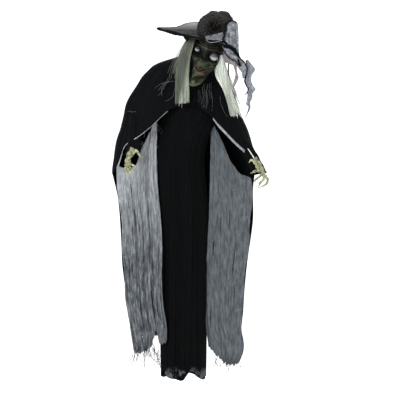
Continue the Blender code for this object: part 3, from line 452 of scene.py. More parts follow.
def cape_half(side, edge, hem, top, finish, seed):
    """Half of the cape: from the middle of the back, round the arm's outside, to the middle of the chest."""
    folds = fold_noise(seed, (5.3, 0.0040), (8.7, 0.0026), (13.1, 0.0018), (21.7, 0.0012), (33.1, 0.0008))
    back_hem = -1.515
    name, way, side_hem = ("cape_left", -1, -0.72) if side == "left" else ("cape_right", 1, -0.66)

    def place(u, v):
        turn = math.pi * (1.03 * u - 0.015)
        outward = np.abs(np.sin(turn))
        level = np.full_like(u, -0.4)
        high = NECK_LEVEL + (top - NECK_LEVEL) * outward
        torn = 0.008 * lumps(u, 0 * u, seed + 9, 60) + 0.005 * lumps(u, 0 * u, seed + 10, 240)
        behind = back_hem + torn + (side_hem - back_hem) * ease(u, 0.44, 0.5)
        for _ in range(6):
            front_hem = along(hem, along(edge, level) * outward ** ROUNDING)
            low = np.where(u < 0.5, behind, front_hem)
            level = high + (low - high) * v
        edge_x = along(edge, level)
        wide = np.sign(edge_x) * np.abs(edge_x) * outward ** ROUNDING
        deep = np.where(u < 0.5, along(CAPE_DEPTH, level) * 1.06, front_reach(level)) * np.cos(turn)
        fold = folds(u, v) * ease(v, 0.05, 0.35)
        x = wide + way * fold * outward * 0.3
        y = SHOULDER_Y + deep + fold * 1.6 * np.sign(np.cos(turn) + 1e-9)
        x = x - way * 0.004 * ease(np.abs(u - 0.5), 0.46, 0.5)
        return x, y, level

    made = cloth(name, 150, 170, place, finish, CAPE_WALL, (1.1, 1.3))
    bend_with_arm(made)
    return made


def make_cape(finish):
    left = cape_half("left", LEFT_EDGE, LEFT_HEM, -0.130, finish, 3)
    right = cape_half("right", RIGHT_EDGE, RIGHT_HEM, -0.180, finish, 5)
    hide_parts("cloak_left", "cloak_back")
    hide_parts("cloak_right", "cloak_yoke")
    return left, right


def make_neck_cover(finish):
    """Top of the cape drawn in round the neck and the hanging rod."""
    def place(u, v):
        turn = FULL_TURN * u
        reach = 0.12 + 0.92 * v
        x = -0.002 + 0.088 * reach * np.cos(turn)
        y = SHOULDER_Y + 0.094 * reach * np.sin(turn)
        gather = 0.0022 * np.sin(23 * turn) * reach + 0.0016 * np.sin(11 * turn + 1.3)
        z = NECK_LEVEL - 0.001 - 0.62 * np.maximum(x, 0) + 0.024 * (1 - reach ** 2) + gather
        return x, y, z - 0.006 * ease(reach, 0.93, 1.04)

    cover = cloth("cape_neck", 150, 26, place, finish, CAPE_WALL, (0.24, 0.145), weld=True)
    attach(cover, "torso")


# ---------------------------------------------------------------- gathered black dress
DRESS_EDGE = rows("""
    -1.745 -.179 .0497, -1.3 -.185 .056, -.9 -.188 .064, -.53 -.19 .07, -.44 -.18 .12, -.36 -.16 .13""")
DRESS_HEM = rows("""
    -.185 -1.69, -.172 -1.686, -.149 -1.718, -.105 -1.733, -.0646 -1.738, -.03 -1.696, .01 -1.722,
    .0447 -1.735, .06 -1.725""")


def make_dress(finish, edge_finish):
    """Narrow gathered tube with a wavy hem, open below."""
    fine = fold_noise(11, (17, 0.0016), (23, 0.0016), (31, 0.0014), (43, 0.0012), (59, 0.0009), (71, 0.0007))
    slow = fold_noise(12, (5, 0.0050), (9, 0.0035))
    low_edge = [(row[0], row[1]) for row in DRESS_EDGE]
    high_edge = [(row[0], row[2]) for row in DRESS_EDGE]

    def place(u, v):
        turn = FULL_TURN * u
        front_hem = along(DRESS_HEM, -0.065 + 0.115 * np.cos(turn))
        back_hem = -1.712 - 0.012 * np.sin(3 * turn)
        hem = back_hem + (front_hem - back_hem) * ease(-np.sin(turn), -0.15, 0.25)
        level = -0.345 + (hem + 0.345) * v
        low, high = along(low_edge, level), along(high_edge, level)
        centre, half = (low + high) / 2, (high - low) / 2
        chest = 0.036 * (1 - ease(v, 0.015, 0.20)) * ease(-np.sin(turn), 0.0, 0.6)
        depth = 0.084 - 0.010 * v + chest
        open_up = ease(v, 0.02, 0.5)
        ring_x, ring_y = np.cos(turn) + 0.10 * v, np.sin(turn) - 0.07 * v
        fold = fine(u, v) * 0.5 + 0.0028 * lumps(ring_x, ring_y, 13, 14) + 0.0026 * lumps(ring_x, ring_y,
            14, 30)
        fold = (fold + 0.0014 * lumps(ring_x, ring_y, 15, 62)) * (0.6 + 0.5 * open_up) + slow(u, v) * open_up
        x = centre + (half + 0.4 * fold - 0.004) * np.cos(turn)
        y = -0.105 + (depth + 1.3 * fold) * np.sin(turn)
        return x, y, level

    dress = cloth("dress", 300, 130, place, finish, 0.0010, (0.72, 1.38), weld=True)
    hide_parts("dress_front", "dress_back")
    hem_line = place(np.linspace(0, 1, 260), np.ones(260))
    edge = strands("dress_hem_edge", [joined(*hem_line)], 0.0017, edge_finish, 1)
    for obj in (dress, edge):
        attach(obj, "torso")


# ---------------------------------------------------------------- grey gauze side panels
def gauze_panel(name, seed, inner, outer, top, hem, sides, finish, flat, slits, depth, lap):
    """Long crinkled gauze panel with a torn hem, slits and a gathered, wandering edge."""
    draw = np.random.default_rng(seed + 2)
    rag = draw.uniform(-1, 1, 60)
    cuts = [(draw.uniform(0.12, 0.9), draw.uniform(0.1, 0.9), draw.uniform(0.004, 0.009),
             draw.uniform(0.02, 0.08)) for _ in range(slits)]
    cuts += [(0.285, 0.84, 0.012, 0.15), (0.62, 0.80, 0.007, 0.09)] if lap else []

    def place(u, v):
        high, low = along(top, u), along(hem, u)
        low = low + 0.010 * np.interp(u * 59, np.arange(60), rag)
        level = high + (low - high) * v
        first, last = along(inner, level), along(outer, level)
        wander = 0.003 * np.sin(23 * v + 2 * seed) * ease(u, 0.9, 1)
        big = 0.0105 * lumps(u, v, seed, (20, 2.2)) + 0.0045 * lumps(u, v, seed + 6, (62, 4.5))
        fine = 0.0024 * lumps(u, v, seed + 7, (150, 9))
        x = first + (last - first) * u + wander * sides + 0.25 * fine
        crush = 0.0020 * lumps(u, v, seed + 3, (40, 60)) + 0.0012 * lumps(u, v, seed + 4, (90, 130))
        y = -0.132 + (big + fine) * depth * (0.35 + 0.65 * ease(v, 0.0, 0.25)) + 0.02 * v + crush
        y = y - lap * (1 - ease(u, 0.04, 0.36)) * ease(v, 0.20, 0.62)
        return x + 0.0005 * lumps(u, v, seed + 5, (60, 90)), y, level

    def keep(u, v):
        return not any(((u - a) / c) ** 2 + ((v - b) / d) ** 2 < 1 for a, b, c, d in cuts)

    return cloth(name, 140, 280, place, finish, 0.0009, flat, keep)


def make_panels(pale, plain):
    left = gauze_panel(
        "gauze_left", 21,
        rows("-1.6 -.15, -1.495 -.144, -1.351 -.164, -1.023 -.169, -.695 -.1937, -.44 -.1937"),
        rows("""
            -1.6 -.305, -1.475 -.331, -1.187 -.36, -.983 -.37, -.775 -.391, -.7 -.397, -.62 -.385,
            -.5 -.33"""),
        rows("0 -.435, .165 -.475, .33 -.536, .42 -.59, .5 -.66, .6 -.68, .8 -.685, 1 -.67"),
        rows("0 -1.545, .22 -1.545, .3 -1.5, .42 -1.56, .7 -1.6, 1 -1.605"),
        -1, pale, (0.34, 1.15), 22, 1.25, 0.066)
    right = gauze_panel(
        "gauze_right", 31,
        rows("-1.68 .08, -1.56 .0596, -.844 .067, -.437 .0745"),
        rows("""
            -1.68 .205, -1.6 .233, -1.475 .2285, -1.187 .248, -1.063 .262, -.944 .271, -.735 .277,
            -.6 .25, -.5 .2, -.42 .15"""),
        rows("0 -.425, .12 -.46, .4 -.57, .5 -.64, .6 -.6755, .72 -.711, .85 -.722, 1 -.735"),
        rows("0 -1.575, .3 -1.63, .6 -1.665, 1 -1.655"),
        1, plain, (0.33, 1.22), 10, 0.62, 0.0)
    for panel, side in ((left, "left"), (right, "right")):
        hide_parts("panel_" + side)
        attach(panel, "upper_arm_" + side)
    return left, right


# ---------------------------------------------------------------- strips and tapes
def path_at(points, t):
    """Smooth curve through evenly spaced points; t runs 0 to 1; gives one column per coordinate."""
    points = np.array(points, float)
    keys = np.linspace(0, 1, len(points))
    return [along(list(zip(keys, column)), t) for column in points.T]


def strip(name, table, finish, grid, ripple, bulge, seed, size):
    """Strip of cloth, from rows down its length of both edges' x and z and the depth y."""
    folds = fold_noise(seed, (1.5, 1.0), (3.7, 0.6), (8.3, 0.3))
    table = tape(np.array(table)) if len(table[0]) == TAPE_COLUMNS else table

    def place(u, v):
        ax, az, bx, bz, y = path_at(table, v)
        return ax + (bx - ax) * u, y - bulge * np.sin(math.pi * u) + ripple * folds(u, v), az + (bz - az) * u

    return cloth(name, *grid, place, finish, STRIP_WALL, size)


def tape(table):
    """The rows of a strip, from those of a tape: its centre line's x and z, half width and depth y."""
    centre, half, depth = table[:, :2], table[:, 2:3], table[:, 3:]
    way = np.gradient(centre, axis=0)
    way /= np.linalg.norm(way, axis=1)[:, None]
    side = np.stack([way[:, 1], -way[:, 0]], 1) * half
    return np.hstack([centre + side, centre - side, depth])


# ---------------------------------------------------------------- mask
FACE_DEPTH = rows("""
    -.178 .03, -.172 .07, -.16 .09, -.145 .095, -.125 .088, -.105 .086, -.08 .09, -.04 .091, 0 .089,
    .03 .092, .055 .097, .08 .091, .115 .07""")
FACE_WIDTH = rows("""
    -.178 .01, -.17 .022, -.155 .028, -.12 .033, -.09 .04, -.06 .056, -.03 .072, 0 .081, .03 .085,
    .07 .083, .115 .07""")
FACE_SKEW = rows("-.178 -.026, -.16 -.022, -.135 -.019, -.105 -.013, -.075 -.004, -.045 0, .115 0")
MOUTH = np.array(rows("""
    -.0365 -.059, -.024 -.066, -.012 -.0725, 0 -.0762, .009 -.07, .015 -.0625, .0225 -.056"""))
NOSE_TIP = (0.0166, -0.0270)
EYE_PLACES = ((-0.048, 0.020), (0.048, 0.020))


def blob(a, c, x, z, wide, tall):
    """Soft round bump of height 1 at (x, z)."""
    return np.exp(-((a - x) / wide) ** 2 - ((c - z) / tall) ** 2)


def line_distance(a, c, line):
    best = np.full_like(a, 9.0)
    for (x0, z0), (x1, z1) in zip(line[:-1], line[1:]):
        dx, dz = x1 - x0, z1 - z0
        t = np.clip(((a - x0) * dx + (c - z0) * dz) / (dx * dx + dz * dz), 0, 1)
        best = np.minimum(best, np.hypot(a - x0 - t * dx, c - z0 - t * dz))
    return best


def groove(a, c, line, width):
    return np.exp(-(line_distance(a, c, line) / width) ** 2)


def lumps(a, c, seed, scale):
    draw = np.random.default_rng(seed)
    wide, tall = scale if isinstance(scale, tuple) else (scale, scale)
    total = 0
    for _ in range(14):
        fx, fz, phase = draw.normal(0, wide), draw.normal(0, tall), draw.uniform(0, 6.28)
        total = total + np.sin(fx * a + fz * c + phase)
    return total / 5.0


WRINKLES = tables("""
    -.06 .066, -.02 .06, .02 .062, .06 .07; -.055 .078, 0 .073, .055 .082; -.02 -.022, -.034 -.044,
    -.044 -.064; .034 -.02, .036 -.042, .03 -.062; -.008 .052, -.004 .03; .014 .054, .01 .03; -.06 -.002,
    -.04 -.012, -.022 -.006; .022 -.006, .044 -.014, .066 -.002; -.034 -.085, -.026 -.11, -.02 -.13;
    .024 -.082, .024 -.105, .016 -.128; -.014 -.11, 0 -.117, .012 -.109""")
WARTS = rows(".036 -.058 .0035, -.05 -.035 .003, .006 -.135 .0035, .026 -.034 .003")


def raised(a, c, table):
    """Sum of soft bumps, one per row: height, then the blob's place and half sizes."""
    return sum(height * blob(a, c, *place) for height, *place in table)


def face_relief(a, c):
    """How far the mask stands out from its plain egg, by place across a and up c."""
    rise = 0.0
    for sign, (x, z) in zip((-1, 1), EYE_PLACES):
        rise = rise + raised(a, c, ((-0.021, x, z, 0.0235, 0.021),
                                    (0.013, x - sign * 0.004, z + 0.034, 0.026, 0.010),
                                    (0.006, x, z - 0.030, 0.024, 0.008),
                                    (0.009, sign * 0.058, -0.018, 0.020, 0.016),
                                    (-0.008, sign * 0.046, -0.055, 0.014, 0.022)))
    bridge = ease(c, -0.045, -0.024) * (1 - ease(c, 0.022, 0.050))
    middle = 0.003 + (NOSE_TIP[0] - 0.003) * (1 - ease(c, -0.030, 0.035))
    narrow = 0.0085 + 0.0050 * (1 - ease(c, -0.030, 0.020))
    rise = rise + (0.016 + 0.014 * (1 - ease(c, -0.030,
                                             0.030))) * bridge * np.exp(-((a - middle) / narrow) ** 2)
    rise = rise + 0.015 * blob(a, c, NOSE_TIP[0], NOSE_TIP[1] - 0.004, 0.0125, 0.0115)
    for side in (-0.015, 0.015):
        rise = rise + 0.009 * blob(a, c, NOSE_TIP[0] + side, NOSE_TIP[1] - 0.005, 0.008, 0.009)
    lip = line_distance(a, c, MOUTH)
    rise = rise + 0.0075 * np.exp(-((lip - 0.0065) / 0.0045) ** 2) - 0.009 * np.exp(-(lip / 0.0028) ** 2)
    rise = rise + raised(a, c, ((0.004, -0.004, -0.092, 0.022, 0.008), (0.011, -0.020, -0.154, 0.015, 0.016)))
    for line in WRINKLES:
        rise = rise - 0.0032 * groove(a, c, line, 0.0026) + 0.0016 * groove(a, c, line, 0.0075)
    for x, z, size in WARTS:
        rise = rise + size * blob(a, c, x, z, size * 1.2, size * 1.2)
    return rise + 0.0011 * lumps(a, c, 4, 160) + 0.0006 * lumps(a, c, 5, 420)


def mix_colour(base, other, amount):
    return base + (np.array(other) - base) * np.clip(amount, 0, 1)[:, None]


def dab(tone, a, c, table):
    """Soft dabs of paint, one per row: red, green, blue, strength, then the blob's place and half sizes."""
    for red, green, blue, strength, *place in table:
        tone = mix_colour(tone, (red, green, blue), strength * blob(a, c, *place))
    return tone


# The fourth dab, on the nose tip, is green paint lightened into a painted highlight.
BASE_DABS = ((0.165, 0.165, 0.090, 0.9, -0.024, -0.165, 0.026, 0.014),
             (0.075, 0.058, 0.045, 0.8, 0.014, 0.004, 0.020, 0.016),
             (0.075, 0.052, 0.025, 0.95, 0.038, 0.056, 0.024, 0.014),
             (0.090, 0.135, 0.088, 1.0, NOSE_TIP[0], NOSE_TIP[1] - 0.003, 0.024, 0.014),
             (0.105, 0.115, 0.095, 0.8, -0.004, 0.052, 0.020, 0.016))
BROW_DABS = ((0.003, 0.004, 0.002, 1.7, -0.018, -0.001, 0.036, 0.009),
             (0.008, 0.009, 0.005, 1.0, -0.052, 0.052, 0.016, 0.014))
LOWER_LIP = ((0.170, 0.095, 0.088, 0.45, 0.001, -0.089, 0.016, 0.006),)
# Dark dabs below the nose and at both sides of the chin: partly dark paint, partly painted shadow.
CHEEK_DABS = rows("""
    .006 .008 .004 .95 -.042 -.122 .011 .024, .01 .012 .007 .9 .03 -.034 .022 .01,
    .01 .011 .006 .8 .034 -.11 .014 .02""")


def face_colour(a, c, front):
    """Painted latex: mottled olive, brown brow, red mouth, a green nose lightened by a painted highlight,
    dark socket paint deepened by painted shade, and painted shade in the wrinkles, down the left side and
    over the upper face.
    """
    tone = np.zeros((len(a), 3)) + (0.066, 0.078, 0.046)
    tone = mix_colour(tone, (0.016, 0.018, 0.009), 0.5 + 0.95 * lumps(a, c, 7, 100))
    tone = mix_colour(tone, (0.150, 0.165, 0.100), 0.75 * lumps(a, c, 8, 150) - 0.15)
    tone = dab(tone, a, c, BASE_DABS)
    # Round each eye: dark socket paint deepened by painted shade in the socket, and a painted brow shadow
    # just above the eye.
    for x, z in EYE_PLACES:
        tone = dab(tone, a, c, ((0.0015, 0.002, 0.0015, 2.3, x, z - 0.002, 0.032, 0.028),
                                (0.003, 0.004, 0.003, 1.2, x * 0.94, z + 0.020, 0.026, 0.011)))
    tone = dab(tone, a, c, BROW_DABS)
    lip = line_distance(a, c, MOUTH)
    red = np.exp(-((lip - 0.006) / 0.0055) ** 2) * (1 - 0.5 * ease(np.abs(a + 0.004), 0.018, 0.036))
    tone = mix_colour(tone, (0.135, 0.062, 0.055), 0.55 * red)
    tone = dab(tone, a, c, LOWER_LIP)
    tone = mix_colour(tone, (0.020, 0.003, 0.003), 1.6 * np.exp(-(lip / 0.0032) ** 2))
    # Painted shade darkens each wrinkle's crease.
    for line in WRINKLES:
        tone = mix_colour(tone, (0.012, 0.013, 0.007), 0.75 * groove(a, c, line, 0.0032))
    # Painted shade down the face's left side, under the hair.
    tone = mix_colour(tone, (0.004, 0.005, 0.003), 1.1 * (1 - ease(a, -0.066, -0.044)) * ease(c, -0.060,
        -0.020))
    tone = dab(tone, a, c, CHEEK_DABS)
    tone = 0.068 * (np.maximum(tone, 0.0004) / 0.085) ** 1.55
    tone = tone + 0.38 * (tone.mean(1)[:, None] - tone)
    # Painted shade over the upper face: the tone darkens from the eyes up to the forehead.
    tone = tone * (1.02 - 0.30 * ease(c, 0.018, 0.045))[:, None]
    return mix_colour(tone, (0.010, 0.011, 0.007), 1 - ease(front, -0.1, 0.45))


def make_latex():
    made = Finish("painted_latex", (0.09, 0.11, 0.06), 0.72, specular=0.10)
    colour = made.node("Attribute", attribute_name="tint")
    fleck = made.noise(230, 5)
    shade = made.ramp(fleck, (0.30, (0.35, 0.38, 0.32)), (0.62, (1.05, 1.05, 0.98)), (0.80, (1.5, 1.5, 1.3)))
    made.colour(made.blend(1.0, colour.outputs["Color"], shade, "MULTIPLY"))
    made.bump(fleck, 0.35, 0.0012)
    made.rough(fleck, 0.62, 0.85)
    return made


def turned(matrix, x, y, z):
    """Points given in a turned frame, brought to the shared frame."""
    turn = np.array(matrix)
    return turn[:3, :3] @ np.stack([x, y, z], 0) + turn[:3, 3:4]


def in_head(x, y, z):
    return turned(HEAD_TURN, x, y, z)


def mask_point(turn, c):
    """Plain egg of the head, by turn from the front and height c."""
    wide, deep = along(FACE_WIDTH, c), along(FACE_DEPTH, c)
    wide = np.where(turn < 0, wide * (1 + 0.26 * (1 - ease(c, 0.030, 0.072))), wide)
    a = along(FACE_SKEW, c) + wide * np.sign(np.sin(turn)) * np.abs(np.sin(turn)) ** 0.92
    forward = np.cos(turn)
    back = 0.098 * ease(c, -0.17, -0.05) + 0.01
    y = -np.where(forward > 0, deep * np.abs(forward) ** 0.95, -back * np.abs(forward) ** 0.95)
    return a, y, forward


def make_mask(finish):
    def face_place(u, v):
        turn, c = (u - 0.5) * 2 * MASK_HALF_TURN, MASK_TOP - MASK_HEIGHT * v
        return turn, c, *mask_point(turn, c)

    def place(u, v):
        turn, c, a, y, forward = face_place(u, v)
        rise = face_relief(a, c) * ease(forward, -0.05, 0.35)
        return in_head(a + rise * np.sin(turn) * 0.45, y - rise * (0.45 + 0.55 * forward), c)

    def paint(u, v):
        _, c, a, _, forward = face_place(u, v)
        return face_colour(a, c, forward)

    mask = cloth("mask", 170, 190, place, finish, 0.0018, (0.3, 0.3), paint=paint)
    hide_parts("face_mask")
    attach(mask, "head")


def make_hood(finish):
    """Cloth back of the head, tucked behind the mask's edges."""
    folds = fold_noise(41, (9, 0.0016), (17, 0.0010))

    def place(u, v):
        turn = math.radians(100) + u * math.radians(160)
        c = 0.110 - 0.215 * v
        a, y, _ = mask_point(turn, c)
        return in_head(a * 0.985, y + folds(u, v) + 0.004, c)

    hood = cloth("hood", 90, 80, place, finish, CLOTH_WALL, (0.3, 0.25))
    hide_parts("head_back")
    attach(hood, "head")


def make_eye_finish():
    made = Finish("cloudy_lens", (0.45, 0.45, 0.47), 0.3, specular=0.35)
    set_inputs(made.shader, Coat_Weight=0.15)
    tone = made.ramp(made.axis("Y", "UV"), (0.34, (0.22, 0.22, 0.22)), (0.44, (0.31, 0.31, 0.31)),
                     (0.52, (0.16, 0.155, 0.18)), (0.62, (0.05, 0.05, 0.06)))
    vein = made.noise(260, 5)
    cloud = made.ramp(vein, (0.35, (0.12, 0.12, 0.13)), (0.65, (0.75, 0.75, 0.74)))
    made.colour(made.blend(0.35, tone, cloud, "OVERLAY"))
    made.bump(vein, 0.05, 0.0004)
    made.rough(vein, 0.30, 0.45)
    return made


def make_eyes(finish):
    for side, (x, z), radius, depth in (("left", EYE_PLACES[0], 0.0135, -0.0700),
                                        ("right", EYE_PLACES[1], 0.0205, -0.0790)):
        bpy.ops.object.select_all(action="DESELECT")
        bpy.ops.mesh.primitive_uv_sphere_add(segments=64, ring_count=40, radius=radius)
        eye = bpy.context.object
        eye.matrix_world = HEAD_TURN @ Matrix.Translation((x, depth, z))
        settle(eye, "eyeball_" + side, finish)
        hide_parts("eye_" + side)
        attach(eye, "head")


# ---------------------------------------------------------------- hair
def make_hair_finish():
    """Straw-pale hair: each strand has its own tone, with painted shade under the hat, and darker on the left
    lock's outside.
    """
    made = Finish("straw_hair", (0.55, 0.58, 0.50), 0.55, specular=0.35)
    set_inputs(made.shader, Anisotropic=0.4)
    streak = made.node("NewGeometry").outputs["Random Per Island"]
    broad = made.noise(22, 2, (1, 1, 0.10))
    tone = made.ramp(streak, (0.05, (0.13, 0.15, 0.105)), (0.42, (0.42, 0.465, 0.38)),
                     (0.90, (0.84, 0.89, 0.85)))
    high = made.axis("Z")
    leaning = made.maths("SUBTRACT", made.axis("X"), made.times(high, 0.25))
    outer = made.span(made.maths("SUBTRACT", leaning, 0.125), -0.103, -0.128, last=0.88)
    # Painted shade under the hat: the strands darken towards the top; the left lock's outside is darker too.
    dark = made.maths("MAXIMUM", made.span(high, -0.155, -0.060, last=0.90), outer)
    dark = made.times(dark, made.maths("ADD", 0.72, made.times(broad, 0.6)))
    tone = made.blend(made.maths("MINIMUM", dark, 0.96), tone, (0.026, 0.029, 0.017))
    green = made.ramp(broad, (0.45, (0, 0, 0)), (0.62, (0.5, 0.5, 0.5)))
    made.colour(made.blend(green, tone, (0.235, 0.285, 0.190)))
    made.rough(streak, 0.45, 0.65)
    return made


def lock(name, table, count, radius, finish, seed, clumps, thick=0.012, low=0.90, pull=0.0):
    """Lock of straight cut strands, from rows down its length of both edges' x and z and the depth y."""
    draw = np.random.default_rng(seed)
    t = np.linspace(0, 1, 15)
    paths, tapers = [], []
    for _ in range(count):
        s = draw.uniform(0, 1)
        end = draw.uniform(low, 1.0)
        v = t * end
        gather = clumps / 100.0 * np.sin(FULL_TURN * 3 * s + 1.2) * v ** 2
        across = np.clip(s ** (1 - pull * v ** 2) + gather, -0.05, 1.05)
        ax, az, bx, bz, y = path_at(table, v)
        layer = draw.uniform(-1, 1)
        sway, phase = draw.uniform(0.0004, 0.0022), draw.uniform(0, 6.28)
        x = ax + (bx - ax) * across + sway * np.sin(5 * v + phase)
        z = az + (bz - az) * across
        y = y - thick * (1 - (2 * s - 1) ** 2) * 0.6 + layer * thick * 0.5 + sway * np.cos(4 * v + phase)
        paths.append(joined(x, y, z))
        tapers.append(1.0 - 0.55 * t)
    return strands(name, paths, radius, finish, tapers=tapers)


def stray_hairs(groups, finish):
    """Single hairs loose of the locks: groups of (line, depth, count, spread)."""
    draw = np.random.default_rng(57)
    paths = []
    for line, depth, count, spread in groups:
        for _ in range(count):
            t = np.linspace(0, draw.uniform(0.6, 1.0), 16)
            x, z = path_at(line, t)
            away = draw.normal(0, spread) * (0.3 + 0.7 * t) + 0.003 * np.sin(draw.uniform(3,
                9) * t + draw.uniform(0, 6.28))
            paths.append(joined(x + away, depth + draw.normal(0, 0.006) + 0.010 * t, z))
    return strands("hair_strays", paths, 0.00050, finish)


def make_hair(finish):
    left = lock("hair_lock_left", rows("""
        -.036 -.034 .004 -.046 -.325, -.052 -.062 -.008 -.068 -.335, -.072 -.1 -.021 -.105 -.33,
        -.088 -.145 -.031 -.15 -.318, -.0985 -.2 -.0365 -.205 -.305, -.102 -.255 -.0375 -.26 -.295,
        -.1035 -.31 -.037 -.31 -.288, -.105 -.372 -.036 -.366 -.282"""),
        620, 0.0009, finish, 51, 4)
    right = lock("hair_lock_right", rows("""
        .125 -.07 .105 -.07 -.33, .1366 -.1341 .116 -.1341 -.338, .144 -.1788 .1142 -.1689 -.345,
        .1565 -.2111 .098 -.1937 -.345, .1639 -.2434 .096 -.2185 -.34, .1763 -.2881 .106 -.2484 -.335,
        .19 -.3402 .129 -.2857 -.33, .204 -.3725 .148 -.33 -.326, .222 -.41 .164 -.3849 -.322,
        .225 -.4321 .1753 -.4321 -.32"""),
        620, 0.00095, finish, 52, 9, low=0.82, pull=0.62)
    back = lock("hair_lock_back", rows("""
        .035 -.03 .15 -.06 -.18, .026 -.075 .158 -.1 -.168, .022 -.115 .154 -.135 -.16,
        .02 -.15 .148 -.165 -.154"""),
        700, 0.0012, finish, 53, 6, 0.016)
    stray = stray_hairs([
        (rows("-.034 -.044, -.052 -.075, -.085 -.13, -.11 -.19, -.12 -.25"), -0.325, 26, 0.012),
        (rows("-.05 -.1, -.07 -.18, -.078 -.27, -.076 -.392"), -0.308, 30, 0.016),
        (rows(".12 -.12, .116 -.2, .15 -.3, .196 -.4, .214 -.444"), -0.345, 30, 0.012),
        (rows(".14 -.17, .17 -.26, .206 -.36, .238 -.436"), -0.338, 22, 0.008)], finish)
    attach(stray, "head")
    for obj, node in ((left, "hair_left"), (right, "hair_right"), (back, "hair_back")):
        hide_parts(node)
        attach(obj, "head")


# ---------------------------------------------------------------- hat
BRIM_EDGE = rows("""
    -.1887 -.335 .0025, -.1291 -.378 -.0155, -.0894 -.4 -.0262, -.0497 -.417 -.0352, .0035 -.43 -.0462,
    .0397 -.436 -.0596, .0695 -.438 -.0715, .0993 -.437 -.07, .1316 -.432 -.0626, .1689 -.418 -.0894,
    .1987 -.392 -.1341, .218 -.345 -.182, .215 -.265 -.15, .19 -.19 -.09, .135 -.145 -.025,
    .0447 -.145 .025, .0035 -.165 .04, -.0497 -.205 .0308, -.1043 -.262 .0099""")


def ring_curve(points, turns):
    """Closed smooth curve through points, at turns 0 to 1."""
    points = np.array(points, float)
    wrapped = np.concatenate([points[-3:], points, points[:4]])
    keys = (np.arange(len(wrapped)) - 3) / len(points)
    return [along(list(zip(keys, column)), turns) for column in wrapped.T]


def hat_ring(turn, spread):
    """Hat opening round the head; turn 0 is the figure's right, a quarter is the front."""
    return turned(HAT_TURN, -0.084 * spread * np.cos(turn), -0.092 * spread * np.sin(turn), 0 * turn)


def crown_dome(turn, rise, wide_lift=1.0, high_lift=1.0):
    """Plain round crown before it is crumpled; rise runs from 0 at the band to a quarter turn at the top."""
    wide = 0.5 * (np.cos(rise) ** 0.85 + np.cos(rise) ** 0.50) * wide_lift
    return (CROWN_X + 0.010 * np.sin(rise) - 0.0860 * np.cos(turn) * wide,
            CROWN_Y - 0.0960 * np.sin(turn) * wide,
            CROWN_Z + 0.1190 * np.sin(rise) ** 0.9 * high_lift)


def make_tulle(name, dark, light, clear=0.0):
    """Fine net: thread lattice, faint creases and a little see-through."""
    made = Finish(name, light, 0.9, sheen=0.02, specular=0.08)
    crease = made.noise(60, 6, rough=0.7)
    cloud = made.noise(14, 3)
    tone = made.ramp(crease, (0.34, dark), (0.66, light))
    made.colour(made.blend(made.times(cloud, 0.5), tone, dark))
    lattice = made.times(made.wave(NET_THREADS, "X"), made.wave(NET_THREADS, "Y"))
    made.bump(crease, 0.7, 0.003)
    made.bump(lattice, 0.3, 0.0005)
    made.rough(crease, 0.8, 1.0)
    made.link(made.span(crease, first=1.0 - clear), made.shader.inputs["Alpha"])
    return made


def make_brim(finish, edge_finish):
    folds = fold_noise(61, (5, 0.0022), (11, 0.0013), (23, 0.0008))

    def place(u, v):
        outer = ring_curve(BRIM_EDGE, u)
        turn = FULL_TURN * u - 0.05
        inner = hat_ring(turn, 0.97)
        swell = 0.006 * np.sin(math.pi * v)
        point = [a + (b - a) * v for a, b in zip(inner, outer)]
        fold = folds(u, v) * np.sin(math.pi * np.clip(v, 0, 1)) ** 0.5
        return point[0], point[1] - 0.3 * fold, point[2] + fold - swell

    brim = cloth("hat_brim_net", 220, 60, place, finish, 0.0010, (1.5, 0.2), weld=True)
    wire_path = joined(*ring_curve(BRIM_EDGE, np.linspace(0, 1, 240)))
    draw = np.random.default_rng(62)
    rough = 1 + 0.25 * np.convolve(draw.normal(0, 1, 240), np.ones(5) / 5, "same")
    left = (1 + 0.9 * np.exp(-((wire_path[:, 0] + 0.12) / 0.07) ** 2)) * (0.30 + 0.70 * ease(-wire_path[:,
        1], 0.26, 0.36))
    wire = strands("hat_brim_edge", [wire_path], 0.0048, edge_finish, 2, [rough * left])
    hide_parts("hat_brim")
    for obj in (brim, wire):
        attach(obj, "head")


def crown_threads(finish):
    """Net threads standing off the crown, over its crumples and past its outline."""
    draw = np.random.default_rng(77)
    paths = []
    while len(paths) < 230:
        t = np.linspace(0, 1, 11)
        turn = draw.uniform(0, FULL_TURN) + draw.normal(0, 0.40) * t + 0.10 * np.sin(7 * t + draw.uniform(0,
            6.28))
        rise = np.clip(draw.uniform(0.15, 1.5) + draw.normal(0, 0.45) * t, 0.10, 1.54)
        lift = 1.015 + draw.uniform(0.02, 0.085) * np.sin(math.pi * t)
        x, y, z = crown_dome(turn, rise, lift, 0.965 + 0.3 * (lift - 1))
        behind, off_hollow = y[5] > -0.34, math.hypot(x[5] - 0.094, z[5] - 0.004) > 0.030
        if behind or off_hollow:
            paths.append(joined(x, y, z))
    return strands("hat_crown_threads", paths, 0.00075, finish)


